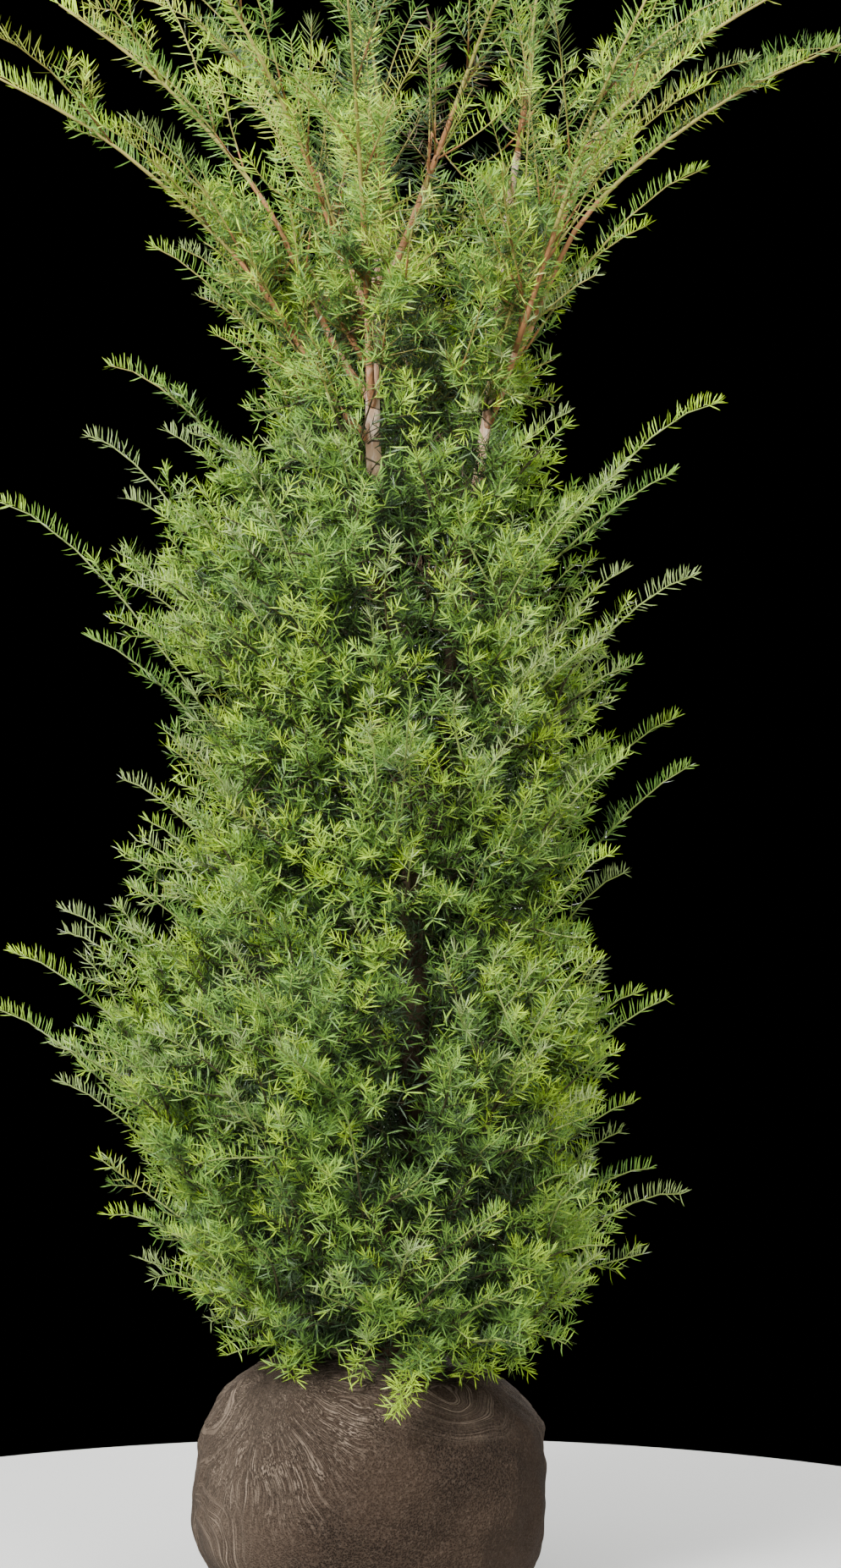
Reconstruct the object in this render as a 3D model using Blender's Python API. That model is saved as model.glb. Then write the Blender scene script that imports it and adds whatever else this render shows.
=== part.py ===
"""Root-balled yew: a field-grown yew bush lifted with its ball of soil, which is wrapped in net.

Metres, +Z up. The origin is the middle of the ball's flat underside. The plant's front faces -Y and its right is +X.
The trunk, a second leader and eleven boughs carry 44 masses of foliage. Each mass grows from one stem and keeps to
the space that is nearer to its own stem than to any other. The crown is a dense column in tiers, a waist, and an
open vase of long shoots on top.
"""

import math
import random

import bmesh
import bpy
import numpy as np
from mathutils import Matrix, Vector, noise
from mathutils.bvhtree import BVHTree

GAP = 0.0003
UP = Vector((0, 0, 1))
FRONT = Vector((0, -1, 0))

# Root ball: its outer side from the top down to the flat underside, as (radius, height)
BALL_TOP = 0.316
BALL_SIDE = (
    (0.100, BALL_TOP),
    (0.148, 0.305),
    (0.184, 0.276),
    (0.208, 0.232),
    (0.222, 0.178),
    (0.226, 0.122),
    (0.217, 0.072),
    (0.190, 0.030),
    (0.140, 0.000),
)
BALL_STEPS = 24
BALL_SWELL, BALL_SWELL_SIZE = 0.035, 0.16

# Trunk and second leader, from foot to tip, as (x, y, z, radius). The leader's own first points follow its seat.
TRUNK = (
    (0.045, 0.000, BALL_TOP + GAP, 0.0370),
    (0.046, 0.000, 0.345, 0.0265),
    (0.050, -0.002, 0.420, 0.0225),
    (0.054, -0.004, 0.650, 0.0200),
    (0.048, -0.008, 0.930, 0.0170),
    (0.024, -0.020, 1.200, 0.0135),
    (0.002, -0.030, 1.450, 0.0100),
    (0.004, -0.026, 1.610, 0.0080),
    (0.010, -0.020, 1.750, 0.0056),
)
LEADER_FOOT, LEADER_TURN, LEADER_RISE, LEADER_RADIUS = 0.930, -12, 25, 0.0110
LEADER_ELBOW = Vector((0.018, 0.0, 0.045))
LEADER = (
    (0.098, -0.016, 1.180, 0.0090),
    (0.137, -0.022, 1.444, 0.0074),
    (0.150, -0.020, 1.540, 0.0068),
    (0.171, -0.012, 1.750, 0.0052),
    (0.184, -0.006, 1.835, 0.0044),
)
TRUNK_SIDES, TRUNK_RINGS = 10, 14
LEADER_SIDES, LEADER_RINGS = 8, 8

# Boughs of the vase: (name, carrier, height of foot, turn, run out, run up, reach of its mass, top of its mass).
# Turn is in degrees seen from above: 0 right, 90 back, 180 left, 270 front.
BOUGHS = (
    ("left_high", "trunk", 1.510, 181, 0.070, 0.125, 0.385, 2.015),
    ("left_low", "trunk", 1.460, 194, 0.060, 0.075, 0.490, 1.915),
    ("back_left", "trunk", 1.610, 128, 0.055, 0.090, 0.370, 2.040),
    ("front_left", "trunk", 1.590, 226, 0.055, 0.095, 0.330, 2.060),
    ("front", "trunk", 1.500, 266, 0.065, 0.100, 0.350, 1.960),
    ("centre_right", "trunk", 1.640, 338, 0.060, 0.130, 0.190, 2.070),
    ("right_far", "leader", 1.610, 350, 0.045, 0.085, 0.375, 2.035),
    ("right_low", "leader", 1.520, 5, 0.045, 0.080, 0.445, 1.978),
    ("front_right", "leader", 1.480, 300, 0.065, 0.085, 0.370, 1.965),
    ("back", "trunk", 1.490, 96, 0.075, 0.110, 0.400, 1.990),
    ("back_right", "leader", 1.560, 52, 0.070, 0.090, 0.390, 2.045),
)
BOUGH_SIDES, BOUGH_RINGS = 6, 4
BOUGH_RADIUS, BOUGH_TIP_RADIUS = 0.0058, 0.0040
BOUGH_ARCH = -0.05
TRUNK_TOP_TIP = Vector((-0.010, -0.030, 2.035))
LEADER_TOP_TIP = Vector((0.215, 0.020, 2.085))

# Masses of the column: (tier, height of the stems' feet, rise, sectors, how many of them taken, turn of the first)
TIERS = (
    ("tier1", 0.405, 12, 6, 6, 30),
    ("tier2", 0.640, 24, 6, 6, 0),
    ("tier3", 0.880, 31, 6, 6, 30),
    ("tier4", 1.130, 37, 6, 6, 0),
    ("waist", 1.345, 48, 4, 4, 65),
    ("neck", 1.550, 56, 4, 3, 66),
)
TWELVE_WAYS = (
    ("right", "right_back", "back_right", "back", "back_left", "left_back")
    + ("left", "left_front", "front_left", "front", "front_right", "right_front")
)
EIGHT_WAYS = ("right", "back_right", "back", "back_left", "left", "front_left", "front", "front_right")
LEADER_CARRIES_ABOVE, LEADER_CARRIES_ASIDE = 1.0, 0.45
STEM_SHARE, LONGEST_STEM = 0.74, 0.26
STEM_RADIUS, STEM_TIP_RADIUS, STEM_RINGS = 0.0040, 0.0018, 4

# The crown's outline, as (height, reach to the right, reach to the left) from its axis
CROWN_AXIS = Vector((0.020, 0.0, 0.0))
CROWN = (
    (0.28, 0.190, 0.200),
    (0.34, 0.230, 0.215),
    (0.42, 0.265, 0.250),
    (0.52, 0.270, 0.300),
    (0.64, 0.275, 0.380),
    (0.75, 0.285, 0.425),
    (0.85, 0.265, 0.360),
    (0.96, 0.290, 0.295),
    (1.10, 0.300, 0.260),
    (1.22, 0.285, 0.330),
    (1.29, 0.260, 0.345),
    (1.40, 0.275, 0.290),
    (1.48, 0.260, 0.265),
    (1.55, 0.205, 0.215),
    (1.62, 0.235, 0.205),
    (1.68, 0.250, 0.240),
    (1.74, 0.300, 0.290),
    (1.80, 0.375, 0.345),
    (1.87, 0.430, 0.400),
    (2.00, 0.480, 0.410),
)
CROWN_TOP = 2.073

# Long single shoots that stand out of the outline at the plant's sides, as (x, z) of the tip, and one in front
SIDE_SHOOTS = (
    (-0.482, 1.398),
    (-0.358, 1.477),
    (-0.332, 1.566),
    (-0.482, 0.756),
    (-0.455, 0.824),
    (-0.390, 0.877),
    (-0.326, 0.952),
    (-0.316, 1.043),
    (-0.337, 0.487),
    (0.437, 1.519),
    (0.380, 1.430),
    (0.407, 1.300),
    (0.394, 1.124),
    (0.404, 1.060),
    (0.372, 0.765),
    (0.353, 0.546),
    (0.394, 0.514),
    (-0.320, 1.856),
    (-0.278, 1.717),
    (-0.219, 1.653),
    (0.482, 1.953),
    (0.417, 1.814),
    (0.348, 1.744),
    (0.278, 1.664),
)
SHOOT_DEPTHS = (0.0, 0.04, -0.04, 0.08, -0.08, 0.12, -0.12)
FRONT_SHOOT = Vector((0.030, -0.236, 0.232))

# Sprays of needles
SPRAY_RADIUS, SPRAY_TIP_RADIUS = 0.0034, 0.0009
NEEDLE_REACH, TUFT_REACH = 0.026, 0.036
NOTCH, LEAN, LIFT = 0.35, 0.50, 0.50
SHORTENED = (1.0, 0.85, 0.7, 0.55)
DENSE_SPRAYS, UPPER_SPRAYS = 6, 4
GOLDEN_ANGLE = math.radians(137.5)

# Spaces and cores
SPACE_MARGIN, CORE_MARGIN, LIMB_MARGIN = 0.0022, 0.004, 0.003
STEM_SAMPLE = 0.008
CORE_SHARE, UPPER_CORE_SHARE = 0.85, 0.82
CORE_AT, UPPER_CORE_AT = 0.6, 0.2
CORE_FLOOR, CORE_CEILING = BALL_TOP + 0.010, 1.870
CORE_SPAN, CORE_TRIALS, FEWEST_HELD = 0.15, 160, 6
CORE_ROUGHNESS, CORE_LEAST = 0.90, 0.012


class Path:
    """A smooth centreline through a few points; t runs from 0 at its foot to 1 at its tip."""

    def __init__(self, points, foot=None):
        self.points = [Vector(p) for p in points]
        self.foot = foot
        steep = (self.points[-1] - self.points[0]).normalized().z > 0.94
        self.above = FRONT if steep else UP

    def point(self, t):
        place = min(max(t, 0.0), 1.0) * (len(self.points) - 1)
        index = min(int(place), len(self.points) - 2)
        s = place - index
        b, c = self.points[index], self.points[index + 1]
        a = self.points[index - 1] if index else b * 2 - c
        d = self.points[index + 2] if index + 2 < len(self.points) else c * 2 - b
        cubic = (b - c) * 3 + d - a
        square = a * 2 - b * 5 + c * 4 - d
        return b + ((c - a) * s + square * s**2 + cubic * s**3) * 0.5

    def tangent(self, t):
        return (self.point(t + 0.01) - self.point(t - 0.01)).normalized()

    def frame(self, t):
        """X to the side, Y to the upper side and Z along the path. The foot faces as its seat does."""
        along = self.foot if self.foot and t < 1e-6 else self.tangent(t)
        side = self.above.cross(along).normalized()
        turn = Matrix((side, along.cross(side), along)).transposed().to_4x4()
        return Matrix.Translation(self.point(t)) @ turn

    def length(self):
        steps = [self.point(i / 12) for i in range(13)]
        return sum((b - a).length for a, b in zip(steps, steps[1:]))

    def at_height(self, height):
        """The t at which a rising path passes this height."""
        low, high = 0.0, 1.0
        for _ in range(24):
            middle = (low + high) / 2
            low, high = (middle, high) if self.point(middle).z < height else (low, middle)
        return low


def arching(start, end, lift, foot=None):
    """A path from start to end whose middle is raised by a share of its length."""
    middle = (start + end) / 2 + UP * ((end - start).length * lift)
    return Path([start, middle, end], foot)


def compass(turn, rise=0):
    """The unit vector at these angles in degrees."""
    turn, rise = math.radians(turn), math.radians(rise)
    return Vector((math.cos(turn) * math.cos(rise), math.sin(turn) * math.cos(rise), math.sin(rise)))


def from_axis(point):
    return math.hypot(point.x - CROWN_AXIS.x, point.y - CROWN_AXIS.y)


def crown_reach(point):
    """How far the crown's outline is from its axis, at this point's height and side."""
    heights, rights, lefts = zip(*CROWN)
    right, left = np.interp(point.z, heights, rights), np.interp(point.z, heights, lefts)
    aside = (point.x - CROWN_AXIS.x) / max(from_axis(point), 1e-6)
    return right * (1 + aside) / 2 + left * (1 - aside) / 2


def prism(sides, rings):
    """A cone's primitive of radius and length 1, cut into rings."""
    bm = bmesh.new()
    bmesh.ops.create_cone(bm, cap_ends=True, segments=sides, radius1=1, radius2=1, depth=1)
    long_edges = [e for e in bm.edges if abs(e.verts[0].co.z - e.verts[1].co.z) > 0.5]
    bmesh.ops.subdivide_edges(bm, edges=long_edges, cuts=rings - 1, use_grid_fill=True)
    return bm


def tube(path, radius, sides, rings):
    """A round limb along a path; radius gives its size at t."""
    bm = prism(sides, rings)
    for v in bm.verts:
        t = v.co.z + 0.5
        v.co = path.frame(t) @ Vector((v.co.x * radius(t), v.co.y * radius(t), 0))
    bmesh.ops.triangulate(bm, faces=bm.faces)
    return bm


def tapering(foot, tip):
    return lambda t: foot + (tip - foot) * t


def spray(path, rings, bare, reach):
    """A twig of needles: a keeled blade whose two upper edges run in and out as teeth that lean to its tip."""
    bm = prism(3, rings)
    for v in bm.verts:
        t = v.co.z + 0.5
        ring = round(t * rings)
        radius = SPRAY_RADIUS + (SPRAY_TIP_RADIUS - SPRAY_RADIUS) * t
        side = 0 if abs(v.co.x) < 0.1 else round(math.copysign(1, -v.co.x))
        if side == 0 or t < bare or ring in (0, rings):
            place = Vector((side * radius, radius * (0.5 if side else -1), 0))
        else:
            tooth = (ring + (side > 0)) % 2
            size = reach * (0.8 + 0.3 * math.sin(math.pi * t)) * (1 if tooth else NOTCH)
            place = Vector((side * size, size * LIFT, size * LEAN if tooth else 0))
        v.co = path.frame(t) @ place
    bmesh.ops.triangulate(bm, faces=bm.faces)
    return bm


class Limb:
    """A trunk, leader or bough: its node's name, its centreline, and its radius along it."""

    def __init__(self, name, path, radius, sides, rings):
        self.name, self.path, self.radius, self.sides, self.rings = name, path, radius, sides, rings
        self.surface = BVHTree.FromBMesh(self.mesh())

    def mesh(self, more=0.0):
        return tube(self.path, lambda t: self.radius(t) + more, self.sides, self.rings)

    def seat(self, height, direction, radius):
        """Where the flat foot of what leaves this limb that way lies, clear of it, and the way the foot faces."""
        inside = self.path.point(self.path.at_height(height))
        place, normal, _, _ = self.surface.ray_cast(inside + direction * 0.2, -direction, 0.2)
        turn = normal.to_track_quat("Z", "Y")
        depths = []
        for angle in np.linspace(0, math.tau, 12, endpoint=False):
            spoke = turn @ Vector((math.cos(angle), math.sin(angle), 0)) * radius
            for share in (0.0, 0.5, 1.0):
                depth = self.surface.ray_cast(place + spoke * share + normal * 0.01, -normal, 0.02)[3]
                depths.append(0.02 if depth is None else depth)
        return place + normal * (0.01 - min(depths) + GAP), normal


def radius_along(rows):
    radii = [row[3] for row in rows]
    return lambda t: float(np.interp(t * (len(radii) - 1), range(len(radii)), radii))


def make_limbs():
    """The trunk, the second leader that leaves it on the right, and the boughs of the vase."""
    trunk_path = Path([row[:3] for row in TRUNK], foot=UP)
    limbs = {"trunk": Limb("trunk", trunk_path, radius_along(TRUNK), TRUNK_SIDES, TRUNK_RINGS)}
    seat, way = limbs["trunk"].seat(LEADER_FOOT, compass(LEADER_TURN, LEADER_RISE), LEADER_RADIUS)
    rows = [(*seat, LEADER_RADIUS), (*(seat + LEADER_ELBOW), LEADER_RADIUS), *LEADER]
    leader_path = Path([row[:3] for row in rows], foot=way)
    limbs["leader"] = Limb("second_leader", leader_path, radius_along(rows), LEADER_SIDES, LEADER_RINGS)
    for name, carrier, foot, turn, out, up, _, _ in BOUGHS:
        rise = math.degrees(math.atan2(up, out))
        seat, way = limbs[carrier].seat(foot, compass(turn, rise), BOUGH_RADIUS)
        path = arching(seat, seat + compass(turn) * out + UP * up, BOUGH_ARCH, way)
        radius = tapering(BOUGH_RADIUS, BOUGH_TIP_RADIUS)
        limbs[name] = Limb(f"bough_{name}", path, radius, BOUGH_SIDES, BOUGH_RINGS)
    return limbs


def stem_from_tip(limb, end):
    """A mass's stem that carries on from a limb's tip, clear of it, and bends outwards to end."""
    way = limb.path.tangent(1)
    start = limb.path.point(1) + way * GAP
    length = (end - start).length
    onward = start + way * (length * 0.3)
    return Path([start, onward, (onward + end) / 2 + UP * (length * 0.05), end], foot=way)


def stem_from_side(limb, height, turn, rise):
    """A mass's stem that leaves the side of the trunk or the leader and ends inside the crown's outline."""
    direction = compass(turn, rise)
    start, way = limb.seat(height, direction, STEM_RADIUS)
    end = start.copy()
    while from_axis(end) < crown_reach(end) * STEM_SHARE and (end - start).length < LONGEST_STEM:
        end += direction * 0.005
    return arching(start, end, 0.03, way)


def lay_out_stems(limbs):
    """Each mass's stem by name: the column's masses, and the vase's."""
    column, vase = {}, {}
    for tier, height, rise, sectors, taken, first in TIERS:
        ways = TWELVE_WAYS if sectors == 6 else EIGHT_WAYS
        for i in range(taken):
            turn = first + i * 360 / sectors
            aside = math.cos(math.radians(turn)) > LEADER_CARRIES_ASIDE
            carrier = limbs["leader" if aside and height > LEADER_CARRIES_ABOVE else "trunk"]
            way = ways[round(turn * len(ways) / 360)]
            column[f"foliage_{tier}_{way}"] = stem_from_side(carrier, height, turn, rise)
    for name, _, _, turn, _, _, reach, top in BOUGHS:
        end = limbs[name].path.point(0) + compass(turn) * reach
        end.z = top
        vase[f"foliage_top_{name}"] = stem_from_tip(limbs[name], end)
    vase["foliage_top_trunk"] = stem_from_tip(limbs["trunk"], TRUNK_TOP_TIP)
    vase["foliage_top_leader"] = stem_from_tip(limbs["leader"], LEADER_TOP_TIP)
    return column, vase


class Room:
    """What foliage must keep to: the space round each mass's stem, the limbs and the ball."""

    def __init__(self, stems, solids):
        self.solids = solids
        self.stems = {}
        for name, stem in stems.items():
            count = max(4, int(stem.length() / STEM_SAMPLE))
            self.stems[name] = np.array([stem.point(i / count) for i in range(count + 1)])

    def spare(self, name, points):
        """How far inside the mass's space the worst of these points lies."""
        points = np.array([tuple(p) for p in points])
        others = np.vstack([s for n, s in self.stems.items() if n != name])

        def nearest(stem):
            return np.linalg.norm(points[:, None] - stem[None], axis=2).min(axis=1)

        return float((nearest(others) - nearest(self.stems[name])).min()) / 2

    def owner(self, point):
        point = np.array(tuple(point))
        return min(self.stems, key=lambda n: np.linalg.norm(self.stems[n] - point, axis=1).min())

    def fits(self, name, bm):
        if self.spare(name, [v.co for v in bm.verts]) < SPACE_MARGIN:
            return False
        surface = BVHTree.FromBMesh(bm)
        return not any(surface.overlap(solid) for solid in self.solids)

    def grow(self, name, start, end, lift, rings, bare, reach=NEEDLE_REACH, shares=SHORTENED):
        """A spray from start towards end, in a list, shortened until it fits. If it never does, the list is empty."""
        for share in shares:
            made = spray(arching(start, start + (end - start) * share, lift), rings, bare, reach)
            if self.fits(name, made):
                return [made]
            made.free()
        return []


def to_outline(start, direction, share, longest):
    """The end of a shoot that runs this way until it meets a share of the crown's outline."""
    end = start + direction * 0.06
    while (end - start).length < longest and from_axis(end) < crown_reach(end) * share:
        end += direction * 0.006
    return end


def leaving(stem, t, opening, around):
    """The direction that opens from the stem by one angle and is turned round it from its upper side by another."""
    aside, above = math.sin(opening) * math.sin(around), math.sin(opening) * math.cos(around)
    return stem.frame(t).to_3x3() @ Vector((aside, above, math.cos(opening)))


def column_sprays(name, stem, room, draw):
    """Sprays all round a dense mass's stem that end near the crown's outline, and one that stands well out of it."""
    made = []
    for i in range(DENSE_SPRAYS):
        t = 0.40 + 0.48 * i / (DENSE_SPRAYS - 1)
        around = i * GOLDEN_ANGLE + draw.uniform(-0.3, 0.3)
        direction = leaving(stem, t, math.radians(draw.uniform(36, 62)), around)
        end = to_outline(stem.point(t), direction, draw.uniform(1.0, 1.14), 0.26)
        made += room.grow(name, stem.point(t), end, 0.05, 4, 0.3, TUFT_REACH)
    sideways = abs(stem.tangent(1).x) > 0.6
    share = 1.12 if sideways else draw.uniform(1.25, 1.5)
    end = to_outline(stem.point(0.8), (stem.tangent(1) + UP * 0.1).normalized(), share, 0.30)
    made += room.grow(name, stem.point(0.8), end, 0.08, 7, 0.1)
    return made


def vase_sprays(name, stem, room, draw):
    """Long shoots that leave a vase mass's stem to both sides and run up and out beside it, and one on its tip."""
    made = []
    for i in range(UPPER_SPRAYS):
        t = 0.12 + 0.54 * i / (UPPER_SPRAYS - 1)
        around = math.copysign(math.radians(draw.uniform(60, 115)), (i % 2) - 0.5)
        direction = leaving(stem, t, math.radians(draw.uniform(30, 44)), around) + UP * 0.15
        length = stem.length() * draw.uniform(0.50, 0.62) * (1.15 - 0.5 * t)
        end = stem.point(t) + direction.normalized() * length
        end.z = min(end.z, CROWN_TOP)
        made += room.grow(name, stem.point(t), end, 0.07, 5, 0.1)
    made += room.grow(name, stem.point(0.60), stem.point(1) + stem.tangent(1) * 0.004, 0.0, 6, 0.0)
    return made


def side_shoots(stems, room):
    """The long shoots at the sides. Each is tried at several depths until a mass has room for it."""
    made = {name: [] for name in stems}
    for x, z in SIDE_SHOOTS:
        for y in SHOOT_DEPTHS:
            tip = Vector((x, y, z))
            name = room.owner(tip)
            starts = [stems[name].point(0.75 - 0.08 * len(made[name])), stems[name].point(0.1)]
            start = next((s for s in starts if s.z < z - 0.02), None)
            grown = room.grow(name, start, tip, 0.05, 6, 0.15, shares=(1.0,)) if start else []
            made[name] += grown
            if grown:
                break
    name = room.owner(FRONT_SHOOT)
    made[name] += room.grow(name, stems[name].point(0.7), FRONT_SHOOT, 0.16, 6, 0.15)
    return made


def make_core(name, stem, room, share, at, draw):
    """The dense inside of a mass: a rough ball drawn out to fill the inner part of its space, past its stem's foot."""

    def held(point):
        level = CORE_FLOOR < point.z < CORE_CEILING and from_axis(point) < crown_reach(point) * share
        past_foot = (point - stem.point(0)).dot(stem.foot) > CORE_MARGIN
        return level and past_foot and room.spare(name, [point]) > CORE_MARGIN

    offsets = [Vector([draw.uniform(-CORE_SPAN, CORE_SPAN) for _ in range(3)]) for _ in range(CORE_TRIALS)]
    inner = [stem.point(at) + offset for offset in offsets if held(stem.point(at) + offset)]
    if len(inner) < FEWEST_HELD:
        return None
    centre = sum(inner, Vector()) / len(inner)
    bm = bmesh.new()
    bmesh.ops.create_icosphere(bm, subdivisions=2, radius=1)
    for v in bm.verts:
        toward = v.co.normalized()
        low, high = 0.0, 1.4 * CORE_SPAN
        for _ in range(10):
            size = (low + high) / 2
            low, high = (size, high) if held(centre + toward * size) else (low, size)
        v.co = centre + toward * max(low * draw.uniform(CORE_ROUGHNESS, 1.0), CORE_LEAST)
    return bm


def make_material(name, colour, roughness):
    made = bpy.data.materials.new(name)
    made.use_nodes = True
    shader = made.node_tree.nodes["Principled BSDF"]
    shader.inputs["Base Color"].default_value = (*colour, 1)
    shader.inputs["Roughness"].default_value = roughness
    shader.inputs["Metallic"].default_value = 0
    made.diffuse_color = (*colour, 1)
    return made


def add_object(name, bm, collection, finish=None):
    """The bmesh as an object of this name; the bmesh is used up."""
    mesh = bpy.data.meshes.new(name)
    bm.to_mesh(mesh)
    bm.free()
    if finish:
        mesh.materials.append(finish)
    made = bpy.data.objects.new(name, mesh)
    collection.objects.link(made)
    return made


def combine(obj, pieces, operation):
    """Joins the pieces to the object, or cuts them from it, and removes them."""
    group = bpy.data.collections.new("pieces")
    bpy.context.scene.collection.children.link(group)
    for i, bm in enumerate(pieces):
        add_object(f"piece_{i}", bm, group)
    boolean = obj.modifiers.new(operation, "BOOLEAN")
    boolean.operation = operation
    boolean.solver = "EXACT"
    boolean.operand_type = "COLLECTION"
    boolean.collection = group
    made = bpy.data.meshes.new_from_object(obj.evaluated_get(bpy.context.evaluated_depsgraph_get()))
    obj.modifiers.remove(boolean)
    obj.data = made
    for piece in list(group.objects):
        bpy.data.objects.remove(piece)
    bpy.data.collections.remove(group)


def keep_main_shell(obj):
    """Keeps the object's largest closed shell, so that a sealed hollow is filled and a loose scrap is dropped."""
    bm = bmesh.new()
    bm.from_mesh(obj.data)
    left, shells = set(bm.faces), []
    while left:
        shell, reached = set(), [left.pop()]
        while reached:
            face = reached.pop()
            shell.add(face)
            near = {f for e in face.edges for f in e.link_faces} & left
            left -= near
            reached.extend(near)
        shells.append(shell)
    shells.sort(key=len)
    bmesh.ops.delete(bm, geom=[f for shell in shells[:-1] for f in shell], context="FACES")
    bm.to_mesh(obj.data)
    bm.free()


def make_mass(name, stem, core, sprays, limbs, collection, finish):
    """One mass of foliage: its core, if it has one, cut clear of the limbs, then its stem and sprays fused on."""
    stem_mesh = tube(stem, tapering(STEM_RADIUS, STEM_TIP_RADIUS), 3, STEM_RINGS)
    if core:
        obj = add_object(name, core, collection, finish)
        combine(obj, [limb.mesh(LIMB_MARGIN) for limb in limbs.values()], "DIFFERENCE")
        keep_main_shell(obj)
        combine(obj, [stem_mesh, *sprays], "UNION")
    else:
        obj = add_object(name, stem_mesh, collection, finish)
        combine(obj, sprays, "UNION")
    keep_main_shell(obj)
    obj.data.materials.clear()
    obj.data.materials.append(finish)


def ball_mesh():
    """The turned ball of soil, pushed out of round a little as a lifted ball is. Its top and underside stay flat."""
    bm = bmesh.new()
    outline = [bm.verts.new((r, 0, z)) for r, z in [(0, BALL_TOP), *BALL_SIDE, (0, 0)]]
    edges = [bm.edges.new(pair) for pair in zip(outline, outline[1:])]
    whole = {"axis": UP, "cent": (0, 0, 0), "angle": math.tau, "steps": BALL_STEPS, "use_merge": True}
    bmesh.ops.spin(bm, geom=[*outline, *edges], **whole)
    bmesh.ops.remove_doubles(bm, verts=bm.verts, dist=0.0001)
    bmesh.ops.recalc_face_normals(bm, faces=bm.faces)
    for v in bm.verts:
        swell = 1 + BALL_SWELL * noise.noise(v.co / BALL_SWELL_SIZE)
        v.co.x *= swell
        v.co.y *= swell
    return bm


def build():
    for old in list(bpy.data.objects):
        bpy.data.objects.remove(old)
    collection = bpy.data.collections.new("root_balled_yew")
    bpy.context.scene.collection.children.link(collection)
    net = make_material("soil_in_brown_net", (0.145, 0.105, 0.080), 0.9)
    bark = make_material("yew_bark", (0.270, 0.165, 0.110), 0.85)
    needles = make_material("yew_needles", (0.160, 0.270, 0.060), 0.55)

    limbs = make_limbs()
    column, vase = lay_out_stems(limbs)
    stems = {**column, **vase}
    solids = [BVHTree.FromBMesh(limb.mesh(LIMB_MARGIN / 2)) for limb in limbs.values()]
    room = Room(stems, [*solids, BVHTree.FromBMesh(ball_mesh())])
    shown = side_shoots(stems, room)
    for name, stem in stems.items():
        draw = random.Random(name)
        if name in column:
            sprays = column_sprays(name, stem, room, draw)
            core = make_core(name, stem, room, CORE_SHARE, CORE_AT, draw)
        else:
            sprays = vase_sprays(name, stem, room, draw)
            core = make_core(name, stem, room, UPPER_CORE_SHARE, UPPER_CORE_AT, draw)
        make_mass(name, stem, core, sprays + shown[name], limbs, collection, needles)

    add_object("root_ball", ball_mesh(), collection, net)
    for limb in limbs.values():
        add_object(limb.name, limb.mesh(), collection, bark).data.shade_smooth()


build()
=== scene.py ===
"""The looks of a root-balled yew: bark, twigs, needles, and the net round its ball of soil.

The plant's front faces -Y. Each mass of foliage is grown again by the solid model's own rule, and then
carried on to finer twigs and single needles within the same reach.
"""

import math
import random

import bmesh
import bpy
import numpy as np
from mathutils import Matrix, Vector, noise
from mathutils.bvhtree import BVHTree


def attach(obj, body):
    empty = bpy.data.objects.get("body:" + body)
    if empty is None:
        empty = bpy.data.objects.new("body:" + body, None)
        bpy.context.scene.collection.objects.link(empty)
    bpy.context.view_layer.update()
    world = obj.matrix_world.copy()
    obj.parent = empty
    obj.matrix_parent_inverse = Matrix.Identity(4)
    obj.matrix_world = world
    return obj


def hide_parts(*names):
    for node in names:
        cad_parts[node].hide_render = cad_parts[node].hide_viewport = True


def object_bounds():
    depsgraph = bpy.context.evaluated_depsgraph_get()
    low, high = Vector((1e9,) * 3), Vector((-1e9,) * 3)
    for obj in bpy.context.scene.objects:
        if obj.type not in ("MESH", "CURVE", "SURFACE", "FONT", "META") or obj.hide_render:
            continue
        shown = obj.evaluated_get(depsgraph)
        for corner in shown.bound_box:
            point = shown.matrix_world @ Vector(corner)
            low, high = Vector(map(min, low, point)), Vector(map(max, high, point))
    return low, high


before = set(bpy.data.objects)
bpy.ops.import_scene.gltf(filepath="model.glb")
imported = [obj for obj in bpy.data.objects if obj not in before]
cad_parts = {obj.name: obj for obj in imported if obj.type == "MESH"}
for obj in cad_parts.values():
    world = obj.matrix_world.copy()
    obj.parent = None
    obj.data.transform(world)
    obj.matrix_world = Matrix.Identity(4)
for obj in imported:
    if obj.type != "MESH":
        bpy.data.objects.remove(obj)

CAD_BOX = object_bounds()
GAP, TINY = 0.0003, 1e-6
UP, FRONT = Vector((0, 0, 1)), Vector((0, -1, 0))
STRAIGHT_UP, LEVEL = np.array([0, 0, 1.0]), np.array([1, 1, 0])

# Root ball: its outer side from the top down to the flat underside, as (radius, height), the rings inside its
# flat ends, and its lumps, as (how fine, how high)
BALL_TOP = 0.316
BALL_SIDE = (
    (0.100, BALL_TOP),
    (0.148, 0.305),
    (0.184, 0.276),
    (0.208, 0.232),
    (0.222, 0.178),
    (0.226, 0.122),
    (0.217, 0.072),
    (0.190, 0.030),
    (0.140, 0.000),
)
BALL_TOP_RING, BALL_UNDERSIDE_RING = 0.05, 0.07
BALL_SWELL, BALL_SWELL_SIZE = 0.035, 0.16
BALL_LUMPS = ((11, 0.010), (34, 0.0028))
BALL_STEPS, BALL_RINGS = 240, 112
SHOULDER_DROP, SHOULDER_FROM, SHOULDER_RISE = 0.10, 0.2, 0.1
TOP_DENTS, TOP_DENT_RATE = 0.006, 26

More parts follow.
